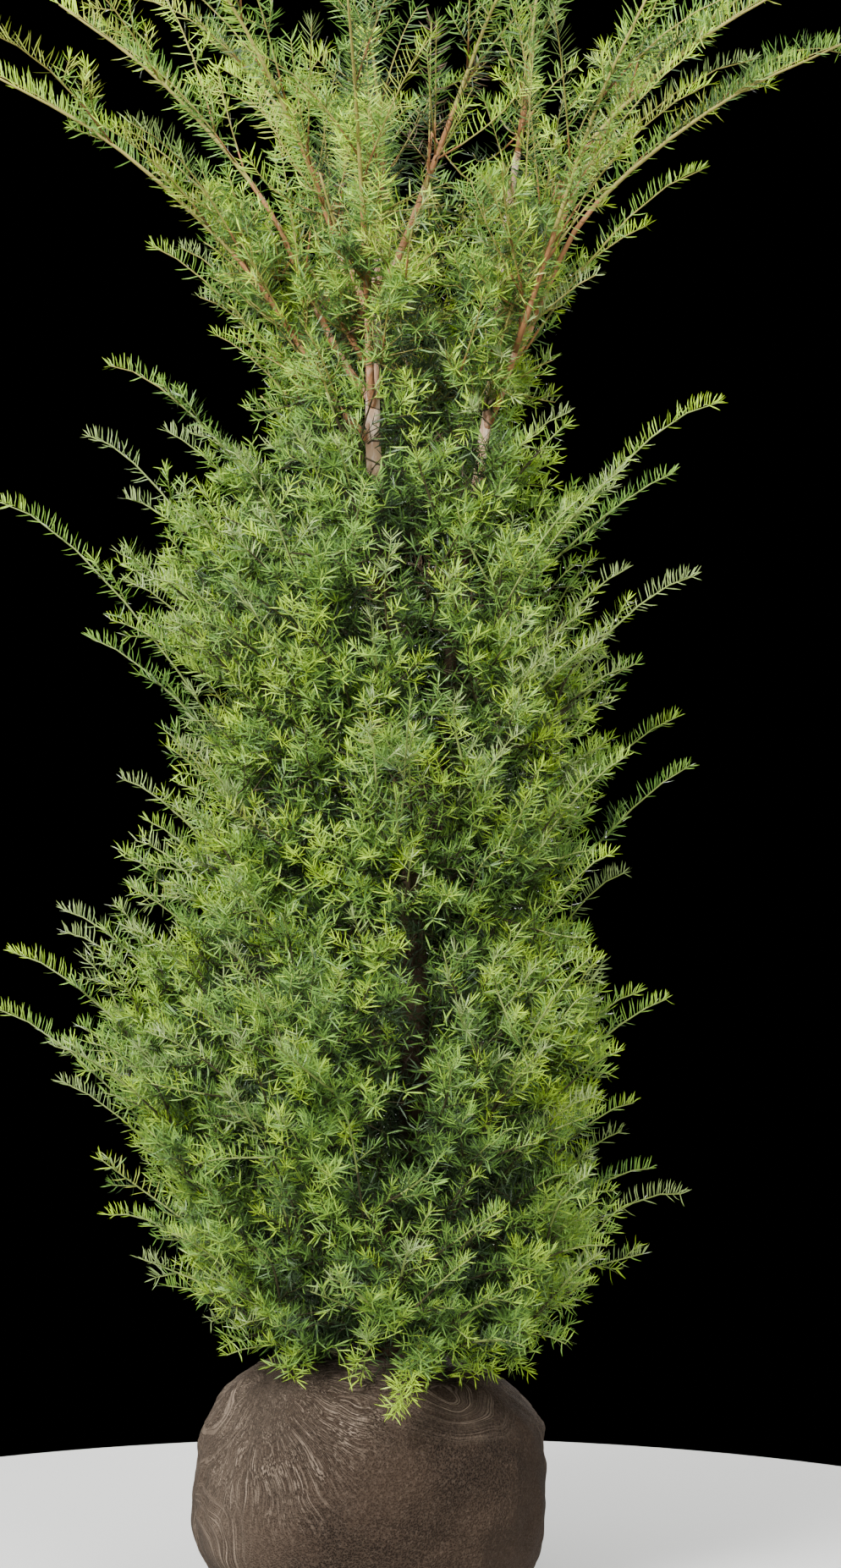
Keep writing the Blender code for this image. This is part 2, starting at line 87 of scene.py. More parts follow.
# The net's threads: whether they spread from a place or run round it, the place, from how near to how far
# they show, and how strongly
NET_THREADS = (
    ("from", (-0.150, -0.120, 0.330), 0.010, 0.250, 1.0),
    ("from", (0.150, 0.110, 0.300), 0.010, 0.200, 0.8),
    ("from", (-0.080, 0.160, 0.300), 0.010, 0.190, 0.8),
    ("from", (0.000, 0.000, 0.010), 0.185, 0.262, 0.4),
    ("round", (-0.215, -0.090, 0.080), 0.015, 0.135, 1.0),
    ("round", (-0.290, -0.080, 0.330), 0.110, 0.230, 0.8),
    ("round", (0.118, -0.150, 0.360), 0.062, 0.160, 0.65),
    ("round", (0.190, 0.100, 0.330), 0.060, 0.200, 0.6),
    ("round", (-0.150, 0.170, 0.340), 0.060, 0.200, 0.6),
)
NET_STARTS_OVER, NET_ENDS_OVER = 0.02, 0.45
FOLDS_FROM, FOLDS_ROUND, FOLDS_STRAY, FOLD_HEIGHT = 9.0, 70.0, 12, 0.0050

# Trunk and second leader from foot to tip, as (x, y, z, radius). The leader's first points follow its seat.
TRUNK = (
    (0.045, 0.000, BALL_TOP + GAP, 0.0370),
    (0.046, 0.000, 0.345, 0.0265),
    (0.050, -0.002, 0.420, 0.0225),
    (0.054, -0.004, 0.650, 0.0200),
    (0.048, -0.008, 0.930, 0.0170),
    (0.024, -0.020, 1.200, 0.0135),
    (0.002, -0.030, 1.450, 0.0100),
    (0.004, -0.026, 1.610, 0.0080),
    (0.010, -0.020, 1.750, 0.0056),
)
LEADER_FOOT, LEADER_TURN, LEADER_RISE, LEADER_RADIUS = 0.930, -12, 25, 0.0110
LEADER_ELBOW = Vector((0.018, 0.0, 0.045))
LEADER = (
    (0.098, -0.016, 1.180, 0.0090),
    (0.137, -0.022, 1.444, 0.0074),
    (0.150, -0.020, 1.540, 0.0068),
    (0.171, -0.012, 1.750, 0.0052),
    (0.184, -0.006, 1.835, 0.0044),
)

# Boughs of the vase: (name, carrier, height of foot, turn, run out, run up, reach and top of its mass)
BOUGHS = (
    ("left_high", "trunk", 1.510, 181, 0.070, 0.125, 0.385, 2.015),
    ("left_low", "trunk", 1.460, 194, 0.060, 0.075, 0.490, 1.915),
    ("back_left", "trunk", 1.610, 128, 0.055, 0.090, 0.370, 2.040),
    ("front_left", "trunk", 1.590, 226, 0.055, 0.095, 0.330, 2.060),
    ("front", "trunk", 1.500, 266, 0.065, 0.100, 0.350, 1.960),
    ("centre_right", "trunk", 1.640, 338, 0.060, 0.130, 0.190, 2.070),
    ("right_far", "leader", 1.610, 350, 0.045, 0.085, 0.375, 2.035),
    ("right_low", "leader", 1.520, 5, 0.045, 0.080, 0.445, 1.978),
    ("front_right", "leader", 1.480, 300, 0.065, 0.085, 0.370, 1.965),
    ("back", "trunk", 1.490, 96, 0.075, 0.110, 0.400, 1.990),
    ("back_right", "leader", 1.560, 52, 0.070, 0.090, 0.390, 2.045),
)
BOUGH_RADIUS, BOUGH_TIP_RADIUS, BOUGH_ARCH = 0.0058, 0.0040, -0.05
SEAT_FROM, SEAT_PROBE = 0.2, 0.01
TRUNK_TOP_TIP = Vector((-0.010, -0.030, 2.035))
LEADER_TOP_TIP = Vector((0.215, 0.020, 2.085))

# Masses of the column: (tier, height of the stems' feet, rise, sectors, how many taken, turn of the first)
TIERS = (
    ("tier1", 0.405, 12, 6, 6, 30),
    ("tier2", 0.640, 24, 6, 6, 0),
    ("tier3", 0.880, 31, 6, 6, 30),
    ("tier4", 1.130, 37, 6, 6, 0),
    ("waist", 1.345, 48, 4, 4, 65),
    ("neck", 1.550, 56, 4, 3, 66),
)
TWELVE_WAYS = (
    ("right", "right_back", "back_right", "back", "back_left", "left_back")
    + ("left", "left_front", "front_left", "front", "front_right", "right_front")
)
EIGHT_WAYS = ("right", "back_right", "back", "back_left", "left", "front_left", "front", "front_right")
LEADER_CARRIES_ABOVE, LEADER_CARRIES_ASIDE = 1.0, 0.45
STEM_SHARE, LONGEST_STEM, STEM_STEP, SIDE_STEM_LIFT = 0.74, 0.26, 0.005, 0.03
ONWARD_SHARE, TIP_STEM_LIFT = 0.3, 0.05
STEM_RADIUS, STEM_TIP_RADIUS, STEM_RINGS, STEM_SIDES = 0.0040, 0.0012, 12, 7
STEM_SAMPLE, CARRIER_SAMPLE, CARRIER_STEPS = 0.008, 0.012, 14
SHOOT_CARRIES, STEM_CARRIES = (0.08, 0.86), (0.12, 1.0)

# The crown's outline, as (height, reach to the right, reach to the left) from its axis
CROWN_AXIS = Vector((0.020, 0.0, 0.0))
AXIS = np.array(CROWN_AXIS)
CROWN = (
    (0.28, 0.190, 0.200),
    (0.34, 0.230, 0.215),
    (0.42, 0.265, 0.250),
    (0.52, 0.270, 0.300),
    (0.64, 0.275, 0.380),
    (0.75, 0.285, 0.425),
    (0.85, 0.265, 0.360),
    (0.96, 0.290, 0.295),
    (1.10, 0.300, 0.260),
    (1.22, 0.285, 0.330),
    (1.29, 0.260, 0.345),
    (1.40, 0.275, 0.290),
    (1.48, 0.260, 0.265),
    (1.55, 0.205, 0.215),
    (1.62, 0.235, 0.205),
    (1.68, 0.250, 0.240),
    (1.74, 0.300, 0.290),
    (1.80, 0.375, 0.345),
    (1.87, 0.430, 0.400),
    (2.00, 0.480, 0.410),
)
CROWN_TOP = 2.073

# Long single shoots that stand out of the outline at the sides, as (x, z) of the tip, with the depths tried
# for each and where along its stem it can start, and one in front
SIDE_SHOOTS = (
    (-0.482, 1.398),
    (-0.358, 1.477),
    (-0.332, 1.566),
    (-0.482, 0.756),
    (-0.455, 0.824),
    (-0.390, 0.877),
    (-0.326, 0.952),
    (-0.316, 1.043),
    (-0.337, 0.487),
    (0.437, 1.519),
    (0.380, 1.430),
    (0.407, 1.300),
    (0.394, 1.124),
    (0.404, 1.060),
    (0.372, 0.765),
    (0.353, 0.546),
    (0.394, 0.514),
    (-0.320, 1.856),
    (-0.278, 1.717),
    (-0.219, 1.653),
    (0.482, 1.953),
    (0.417, 1.814),
    (0.348, 1.744),
    (0.278, 1.664),
)
SHOOT_DEPTHS = (0.0, 0.04, -0.04, 0.08, -0.08, 0.12, -0.12)
SIDE_STARTS, SIDE_START_STEP, SIDE_LIFT, SIDE_RISES = (0.75, 0.1), 0.08, 0.05, 0.02
FRONT_SHOOT, FRONT_SHOOT_FOOT = Vector((0.029, -0.236, 0.280)), Vector((0.066, -0.190, 0.378))
FRONT_SHOOT_BENDS = np.array([0.006, -0.014, 0.012])

# Sprays by the solid model's rule: those of a dense mass, its leading one, and those of the vase. Each stands
# on a stretch of the stem, opens from it by an angle in degrees, and reaches a share of the crown's outline
# or, in the vase, of the stem's length.
SHORTENED, TIP_FOUND = (1.0, 0.85, 0.7, 0.55), 0.0012
SPRAY_START, SPRAY_STEP, TURN_STRAYS = 0.06, 0.006, 0.3
DENSE_SPRAYS, DENSE_FEET, DENSE_OPENS = 6, (0.40, 0.48), (36, 62)
DENSE_REACH, DENSE_LONGEST, DENSE_LIFT = (1.0, 1.14), 0.26, 0.05
LEAD_FOOT, LEAD_REACH, LEAD_REACH_ASIDE, ASIDE = 0.8, (1.25, 1.5), 1.12, 0.6
LEAD_RISE, LEAD_LONGEST, LEAD_LIFT = 0.1, 0.30, 0.08
UPPER_SPRAYS, UPPER_FEET, UPPER_OPENS, UPPER_TURNS = 4, (0.12, 0.54), (30, 44), (60, 115)
UPPER_LENGTH, UPPER_RISE, UPPER_LIFT, UPPER_ARCH = (0.50, 0.62), 0.15, 0.07, 0.09
SHORTER_ABOVE = (1.15, 0.5)
GOLDEN_ANGLE = math.radians(137.5)

# The combs: how steeply they rise, and between which heights they come to do so; by how much they flatten at
# their tips, over which share of their length; how long they are at least; how far out their feet are at most
COMB_RISE, COMB_LOW = (37, 49), (0.34, 0.62)
COMB_FLATTENS, COMB_BENDS = (18, 40), 0.26
COMB_LENGTH, COMB_FEET, COMB_STEP, COMB_STEPS = (0.17, 0.25), 0.74, 0.02, 12
COMB_JOINS = 0.4

# Further long shoots all round each vase stem, and the short stretches of the stem itself that carry needles
UPPER_TIP_FOOT, UPPER_TIP_PASSES = 0.60, 0.004
FURTHER_FEET, FURTHER_OPENS, FURTHER_STRAYS, FURTHER_RISE = (0.04, 0.74), (16, 44), 0.4, 0.2
FURTHER_LENGTH, FURTHER_SHORTENS, FURTHER_ARCH, FURTHEST_REACH = (0.40, 0.72), 0.93, 0.16, 1.12
STEM_PLUMES, STEM_PLUME_STEPS = (0.16, 0.34, 0.52, 0.70), (0, 0.1, 0.2)

# How a finer shoot picks its carrier, and which ways its tip is drawn
SIDEWAYS_COST, CLOSE_COST, HEIGHT_COST = 1.9, 4, 1.4
FROM_STEM, ONWARDS, TIP_STRAYS = 0.40, 0.35, 0.20
DROOP_BELOW, DROOP_OVER, DROOP = 0.46, 0.12, 0.30

# Short shoots all round their carrier, and those to both sides of it
ROUND_FEET, ROUND_OPENS, ROUND_OUT, ROUND_UP = (0.14, 0.78), (34, 60), 0.5, 0.15
ROUND_TAPER, ROUND_SIZES, NEARLY_UP = (1.15, 0.65), (0.75, 1.15), np.array([0, 0.05, 1.0])
TWIG_FROM, TWIG_SHARE, TWIG_LENGTHS, TWIG_SIZES = 0.06, 0.24, (0.02, 0.07), (0.7, 1.2)
TWIG_ONWARDS, TWIG_ASIDE, TWIG_UP, TWIG_STRAYS, TWIG_CARRIERS_FROM = 0.75, 0.62, 0.1, 0.16, 0.13

# The dense part of the crown that finer shoots fill, as (height, reach to the right, reach to the left)
FILLED = (
    (0.304, 0.165, 0.175),
    (0.34, 0.200, 0.200),
    (0.37, 0.225, 0.225),
    (0.42, 0.245, 0.245),
    (0.52, 0.240, 0.265),
    (0.60, 0.245, 0.310),
    (0.68, 0.250, 0.345),
    (0.75, 0.245, 0.340),
    (0.85, 0.225, 0.275),
    (0.95, 0.225, 0.255),
    (1.05, 0.245, 0.220),
    (1.15, 0.245, 0.235),
    (1.24, 0.235, 0.280),
    (1.30, 0.215, 0.290),
    (1.40, 0.205, 0.225),
    (1.48, 0.200, 0.150),
    (1.55, 0.165, 0.150),
    (1.62, 0.185, 0.170),
    (1.68, 0.200, 0.205),
    (1.74, 0.240, 0.230),
    (1.80, 0.260, 0.215),
    (1.98, 0.260, 0.200),
)
CLUMP_SIZE, CLUMP_GAPS = 0.085, -0.10
RELIEF, RELIEF_SIZE = 0.22, 0.10
PLUME_HEIGHTS, PLUME_REACH, PLUMES_APART = (1.64, 1.95), 0.230, 0.078
FILL_FADES, FILL_ENDS = 1.56, 1.80
PLUMES_TRIED = 500
BALL_CLEAR, BOX_CLEAR = 0.012, 0.012

# What each kind of shoot carries. Angles are in degrees: ranks is how far from its upper side its two rows
# stand, with the spread of both. Loose is the share of the needles that stand all round it instead, turned is
# how far a needle faces its tip, and rise is how far it bends up.
HABIT_KEYS = (
    ("needle", "width", "spacing", "bare", "ranks", "spread", "loose")
    + ("opens", "closes", "turned", "twist", "rise", "radius", "rings")
)
HABIT_ROWS = {
    "plume": (0.0270, 0.0017, 0.0030, 0.03, 50, 24, 0.16, 78, 50, 8, 12, 0.38, 0.0012, 6),
    "comb": (0.0215, 0.0014, 0.0035, 0.03, 44, 40, 0.32, 84, 62, 14, 26, 0.56, 0.0015, 6),
    "branchlet": (0.0235, 0.0016, 0.0021, 0.10, 52, 22, 0.36, 80, 42, 24, 14, 0.30, 0.0012, 4),
    "short": (0.0215, 0.0016, 0.0016, 0.06, 60, 26, 0.60, 78, 34, 50, 14, 0.24, 0.0008, 2),
    "inner": (0.0245, 0.0021, 0.0040, 0.06, 60, 40, 0.90, 84, 44, 60, 40, 0.20, 0.0008, 2),
}
HABITS = {name: dict(zip(HABIT_KEYS, row)) for name, row in HABIT_ROWS.items()}
NEEDLE_FOOT, NEEDLE_SHOULDER = 0.55, 0.60
NEEDLE_CURVE, NEEDLE_STRAYS = 0.05, 7
TIP_OPENS = (15, 72)
TIP_TUFT, TIP_CROWDING = 0.90, 1.25
FEWEST_NEEDLES, PLACE_STRAYS, CLOSING = 5, (0.2, 0.8), 1.5
STEEP_FROM, STEEP_OVER, STEEP_RANKS, STEEP_EVENS = 0.55, 0.35, 80, 0.8
NEEDLE_LENGTHS, NEEDLE_SIZES, NEEDLE_BENDS = (0.72, 0.34), (0.84, 1.10), (-0.5, 1.5)
DARKER_UNTIL, LIGHTER_FROM = 0.30, 0.74

# Stretches of bare wood that show in front, as (limb, lowest, highest, how far to each side)
SHOWN_WOOD = (
    ("trunk", 1.425, 1.545, 0.010),
    ("leader", 1.455, 1.515, 0.008),
    ("leader", 1.745, 1.780, 0.006),
    ("centre_right", 1.690, 1.850, 0.006),
    ("right_low", 1.690, 1.790, 0.006),
    ("trunk", 0.915, 0.935, 0.010),
)


class Path:
    """A smooth centreline through a few points; t runs from 0 at its foot to 1 at its tip."""

    def __init__(self, points, foot=None):
        self.points = [Vector(p) for p in points]
        self.foot = foot
        steep = (self.points[-1] - self.points[0]).normalized().z > 0.94
        self.above = FRONT if steep else UP

    def point(self, t):
        place = min(max(t, 0.0), 1.0) * (len(self.points) - 1)
        index = min(int(place), len(self.points) - 2)
        s = place - index
        b, c = self.points[index], self.points[index + 1]
        a = self.points[index - 1] if index else b * 2 - c
        d = self.points[index + 2] if index + 2 < len(self.points) else c * 2 - b
        cubic = (b - c) * 3 + d - a
        square = a * 2 - b * 5 + c * 4 - d
        return b + ((c - a) * s + square * s**2 + cubic * s**3) * 0.5

    def tangent(self, t):
        return (self.point(t + 0.01) - self.point(t - 0.01)).normalized()

    def frame(self, t):
        """X to the side, Y to the upper side and Z along the path. The foot faces as its seat does."""
        along = self.foot if self.foot and t < TINY else self.tangent(t)
        side = self.above.cross(along).normalized()
        turn = Matrix((side, along.cross(side), along)).transposed().to_4x4()
        return Matrix.Translation(self.point(t)) @ turn

    def length(self):
        steps = [self.point(i / 12) for i in range(13)]
        return sum((b - a).length for a, b in zip(steps, steps[1:]))

    def at_height(self, height):
        """The t at which a rising path passes this height."""
        low, high = 0.0, 1.0
        for _ in range(24):
            middle = (low + high) / 2
            low, high = (middle, high) if self.point(middle).z < height else (low, middle)
        return low


def arching(start, end, lift, foot=None):
    """A path from start to end whose middle is raised by a share of its length."""
    middle = (start + end) / 2 + UP * ((end - start).length * lift)
    return Path([start, middle, end], foot)


def compass(turn, rise=0):
    """The unit vector at these angles in degrees."""
    turn, rise = math.radians(turn), math.radians(rise)
    return Vector((math.cos(turn) * math.cos(rise), math.sin(turn) * math.cos(rise), math.sin(rise)))


def from_axis(point):
    return math.hypot(point.x - CROWN_AXIS.x, point.y - CROWN_AXIS.y)


def outline_reach(outline, height, aside):
    """How far an outline is from the axis at this height; aside is 1 to the right and -1 to the left."""
    heights, rights, lefts = np.array(outline).T
    right = np.interp(height, heights, rights) * (1 + aside) / 2
    return right + np.interp(height, heights, lefts) * (1 - aside) / 2


def crown_reach(point):
    return float(outline_reach(CROWN, point.z, (point.x - CROWN_AXIS.x) / max(from_axis(point), TINY)))


def surface_of(node):
    """The surface of a solid of the frame."""
    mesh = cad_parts[node].data
    return BVHTree.FromPolygons([v.co for v in mesh.vertices], [p.vertices for p in mesh.polygons])


class Limb:
    """A trunk, leader or bough: its solid's name, its centreline, and its radius along it."""

    def __init__(self, name, path, radius):
        self.name, self.path, self.radius = name, path, radius
        self.surface = surface_of(name)

    def seat(self, height, direction, radius):
        """Where the flat foot of what leaves this limb that way lies, clear of it, and the way it faces."""
        inside = self.path.point(self.path.at_height(height))
        place, normal, _, _ = self.surface.ray_cast(inside + direction * SEAT_FROM, -direction, SEAT_FROM)
        turn = normal.to_track_quat("Z", "Y")
        depths = []
        for angle in np.linspace(0, math.tau, 12, endpoint=False):
            spoke = turn @ Vector((math.cos(angle), math.sin(angle), 0)) * radius
            for share in (0.0, 0.5, 1.0):
                above = place + spoke * share + normal * SEAT_PROBE
                depth = self.surface.ray_cast(above, -normal, SEAT_PROBE * 2)[3]
                depths.append(SEAT_PROBE * 2 if depth is None else depth)
        return place + normal * (SEAT_PROBE - min(depths) + GAP), normal


def radius_along(rows):
    radii = [row[3] for row in rows]
    return lambda t: float(np.interp(t * (len(radii) - 1), range(len(radii)), radii))


def tapering(foot, tip):
    return lambda t: foot + (tip - foot) * t


def make_limbs():
    """The trunk, the second leader that leaves it on the right, and the boughs of the vase."""
    limbs = {"trunk": Limb("trunk", Path([row[:3] for row in TRUNK], foot=UP), radius_along(TRUNK))}
    seat, way = limbs["trunk"].seat(LEADER_FOOT, compass(LEADER_TURN, LEADER_RISE), LEADER_RADIUS)
    rows = [(*seat, LEADER_RADIUS), (*(seat + LEADER_ELBOW), LEADER_RADIUS), *LEADER]
    limbs["leader"] = Limb("second_leader", Path([row[:3] for row in rows], foot=way), radius_along(rows))
    for name, carrier, foot, turn, out, up, _, _ in BOUGHS:
        rise = math.degrees(math.atan2(up, out))
        seat, way = limbs[carrier].seat(foot, compass(turn, rise), BOUGH_RADIUS)
        path = arching(seat, seat + compass(turn) * out + UP * up, BOUGH_ARCH, way)
        limbs[name] = Limb(f"bough_{name}", path, tapering(BOUGH_RADIUS, BOUGH_TIP_RADIUS))
    return limbs


def stem_from_tip(limb, end):
    """A mass's stem that carries on from a limb's tip, clear of it, and bends outwards to end."""
    way = limb.path.tangent(1)
    start = limb.path.point(1) + way * GAP
    length = (end - start).length
    onward = start + way * (length * ONWARD_SHARE)
    return Path([start, onward, (onward + end) / 2 + UP * (length * TIP_STEM_LIFT), end], foot=way)


def stem_from_side(limb, height, turn, rise):
    """A mass's stem that leaves the side of the trunk or the leader and ends inside the crown's outline."""
    direction = compass(turn, rise)
    start, way = limb.seat(height, direction, STEM_RADIUS)
    end = start.copy()
    while from_axis(end) < crown_reach(end) * STEM_SHARE and (end - start).length < LONGEST_STEM:
        end += direction * STEM_STEP
    return arching(start, end, SIDE_STEM_LIFT, way)


def lay_out_stems(limbs):
    """Each mass's stem by name: the column's masses, and the vase's."""
    column, vase = {}, {}
    for tier, height, rise, sectors, taken, first in TIERS:
        ways = TWELVE_WAYS if sectors == 6 else EIGHT_WAYS
        for i in range(taken):
            turn = first + i * 360 / sectors
            aside = math.cos(math.radians(turn)) > LEADER_CARRIES_ASIDE
            carrier = limbs["leader" if aside and height > LEADER_CARRIES_ABOVE else "trunk"]
            way = ways[round(turn * len(ways) / 360)]
            column[f"foliage_{tier}_{way}"] = stem_from_side(carrier, height, turn, rise)
    for name, _, _, turn, _, _, reach, top in BOUGHS:
        end = limbs[name].path.point(0) + compass(turn) * reach
        end.z = top
        vase[f"foliage_top_{name}"] = stem_from_tip(limbs[name], end)
    vase["foliage_top_trunk"] = stem_from_tip(limbs["trunk"], TRUNK_TOP_TIP)
    vase["foliage_top_leader"] = stem_from_tip(limbs["leader"], LEADER_TOP_TIP)
    return column, vase


def to_outline(start, direction, share, longest):
    """The end of a shoot that runs this way until it meets a share of the crown's outline."""
    end = start + direction * SPRAY_START
    while (end - start).length < longest and from_axis(end) < crown_reach(end) * share:
        end += direction * SPRAY_STEP
    return end


def leaving(stem, t, opening, around):
    """A direction that opens from the stem by one angle and is turned round it, from above, by another."""
    aside, above = math.sin(opening) * math.sin(around), math.sin(opening) * math.cos(around)
    return stem.frame(t).to_3x3() @ Vector((aside, above, math.cos(opening)))


class Plant:
    """The stems of all masses, and the lines of all shoots that grow from them, each (start, bend, end)."""

    def __init__(self, column, vase):
        self.column, self.vase = column, vase
        self.stems = {**column, **vase}
        self.names = list(self.stems)
        self.solids = {name: surface_of(name) for name in self.names}
        counts = {name: max(4, int(stem.length() / STEM_SAMPLE)) for name, stem in self.stems.items()}
        self.samples = {
            name: np.array([stem.point(i / counts[name]) for i in range(counts[name] + 1)])
            for name, stem in self.stems.items()
        }
        self.lines, self.masses, self.habits, self.sprays = [], [], [], []
        self.last_spray = 0

    def owner(self, point):
        point = np.array(tuple(point))
        return min(self.samples, key=lambda n: np.linalg.norm(self.samples[n] - point, axis=1).min())

    def owners(self, points):
        """The index of each point's mass, and the nearest point of its stem."""
        best = np.full(len(points), np.inf)
        mass, nearest = np.zeros(len(points), int), np.zeros((len(points), 3))
        for i, samples in enumerate(self.samples.values()):
            away = np.linalg.norm(points[:, None] - samples[None], axis=2)
            least = away.min(axis=1)
            nearer = least < best
            best[nearer], mass[nearer] = least[nearer], i
            nearest[nearer] = samples[away.argmin(axis=1)][nearer]
        return mass, nearest

    def add(self, habit, mass, lines, sprays=None):
        """Adds shoots of one habit, each a spray of its own unless their sprays are given; gives the sprays.

        Lines is an array of (start, bend, end).
        """
        lines = np.asarray(lines, float).reshape(-1, 3, 3)
        if sprays is None:
            sprays = self.last_spray + np.arange(len(lines))
            self.last_spray += len(lines)
        self.lines.append(lines)
        self.masses.append(np.broadcast_to(mass, len(lines)))
        self.habits.append(np.full(len(lines), list(HABITS).index(habit)))
        self.sprays.append(sprays)
        return sprays

    def spray(self, name, start, end, lift, shares=SHORTENED):
        """The path of a spray of the solid model, as long as it is there, or None where it is left out."""
        for share in shares:
            path = arching(start, start + (end - start) * share, lift)
            if self.solids[name].find_nearest(path.point(1))[3] < TIP_FOUND:
                return path
        return None

    def shoots(self):
        """The lines, masses, habits and sprays of all shoots so far."""
        return tuple(np.concatenate(part) for part in (self.lines, self.masses, self.habits, self.sprays))

    def carriers(self):
        """Points along stems and shoots that finer ones can leave, the way each runs there, and its mass."""
        lines, masses, _, _ = self.shoots()
        steps = np.linspace(*SHOOT_CARRIES, CARRIER_STEPS)
        points = [along(lines, t) for t in steps]
        ways = [heading(lines, t) for t in steps]
        owners = [masses] * len(steps)
        for index, stem in enumerate(self.stems.values()):
            steps = np.linspace(*STEM_CARRIES, max(6, int(stem.length() / CARRIER_SAMPLE)))
            points.append(np.array([stem.point(t) for t in steps]))
            ways.append(np.array([stem.tangent(t) for t in steps]))
            owners.append(np.full(len(steps), index))
        return np.concatenate(points), np.concatenate(ways), np.concatenate(owners)


def along(lines, t):
    """The place at t on each line."""
    t = np.asarray(t)[..., None] if np.ndim(t) else t
    return lines[:, 0] * (1 - t) ** 2 + lines[:, 1] * (2 * t * (1 - t)) + lines[:, 2] * t**2


def heading(lines, t):
    """The unit direction at t on each line."""
    t = np.asarray(t)[..., None] if np.ndim(t) else t
    return unit((lines[:, 1] - lines[:, 0]) * (1 - t) + (lines[:, 2] - lines[:, 1]) * t)


def unit(vectors):
    return vectors / np.maximum(np.linalg.norm(vectors, axis=-1, keepdims=True), 1e-9)


def outward(points):
    """The level unit direction from the crown's axis to each point."""
    return unit((points - AXIS) * LEVEL)


def column_tips(plant):
    """The tips of the sprays round each dense mass's stem, by the solid model's rule."""
    paths = []
    for name, stem in plant.column.items():
        draw = random.Random(name)
        for i in range(DENSE_SPRAYS):
            t = DENSE_FEET[0] + DENSE_FEET[1] * i / (DENSE_SPRAYS - 1)
            around = i * GOLDEN_ANGLE + draw.uniform(-TURN_STRAYS, TURN_STRAYS)
            direction = leaving(stem, t, math.radians(draw.uniform(*DENSE_OPENS)), around)
            end = to_outline(stem.point(t), direction, draw.uniform(*DENSE_REACH), DENSE_LONGEST)
            paths.append(plant.spray(name, stem.point(t), end, DENSE_LIFT))
        share = LEAD_REACH_ASIDE if abs(stem.tangent(1).x) > ASIDE else draw.uniform(*LEAD_REACH)
        start = stem.point(LEAD_FOOT)
        end = to_outline(start, (stem.tangent(1) + UP * LEAD_RISE).normalized(), share, LEAD_LONGEST)
        paths.append(plant.spray(name, start, end, LEAD_LIFT))
    return [path.point(1) for path in paths if path]


def side_tips(plant):
    """The tips of the long shoots at the sides, at the depths where the solid model has them."""
    made = dict.fromkeys(plant.names, 0)
    tips = []
    for x, z in SIDE_SHOOTS:
        for y in SHOOT_DEPTHS:
            name = plant.owner((x, y, z))
            stem = plant.stems[name]
            starts = [stem.point(SIDE_STARTS[0] - SIDE_START_STEP * made[name]), stem.point(SIDE_STARTS[1])]
            start = next((s for s in starts if s.z < z - SIDE_RISES), None)
            if start and plant.spray(name, start, Vector((x, y, z)), SIDE_LIFT, (1.0,)):
                made[name] += 1
                tips.append(Vector((x, y, z)))
                break
    return tips


def grow_combs(plant, rng, tips):
    """Long shoots that end at the tips: each rises steeply out of the crown and flattens just before its tip.

    The foot of each lies in the filled part, and a branchlet joins it to the nearest stem or shoot.
    """
    ends = np.array([tuple(tip) for tip in tips])
    points, _, owners = plant.carriers()
    out = outward(ends)
    high = np.interp(ends[:, 2], COMB_LOW, (0, 1))
    rise = np.radians(rng.uniform(*COMB_RISE, len(ends)) * high)[:, None]
    flat = rise - np.radians(rng.uniform(*COMB_FLATTENS, len(ends)))[:, None]
    way = out * np.cos(rise) + STRAIGHT_UP * np.sin(rise)
    last = out * np.cos(flat) + STRAIGHT_UP * np.sin(flat)
    length = rng.uniform(*COMB_LENGTH, len(ends))
    for _ in range(COMB_STEPS):
        feet = ends - way * length[:, None]
        length += COMB_STEP * (outline_share(feet) > COMB_FEET)
    feet = ends - way * length[:, None]
    nearest = np.linalg.norm(feet[:, None] - points[None], axis=2).argmin(axis=1)
    starts, owners = points[nearest], owners[nearest]
    apart = np.linalg.norm(feet - starts, axis=1, keepdims=True)
    lines = np.stack([feet, ends - last * length[:, None] * COMB_BENDS, ends], axis=1)
    sprays = plant.add("comb", owners, lines)
    plant.add("branchlet", owners, np.stack([starts, feet - way * apart * COMB_JOINS, feet], axis=1), sprays)
    return lines, owners, sprays


def grow_front_shoot(plant, rng):
    """The thick young shoot that hangs over the ball in front."""
    mass = plant.names.index(plant.owner(FRONT_SHOOT))
    end, start = np.array(FRONT_SHOOT), np.array(FRONT_SHOOT_FOOT)
    line = np.array([[start, (start + end) / 2 + FRONT_SHOOT_BENDS, end]])
    front = line, np.array([mass]), plant.add("short", mass, line)
    grow_round(plant, rng, front, each=15, longest=0.034)


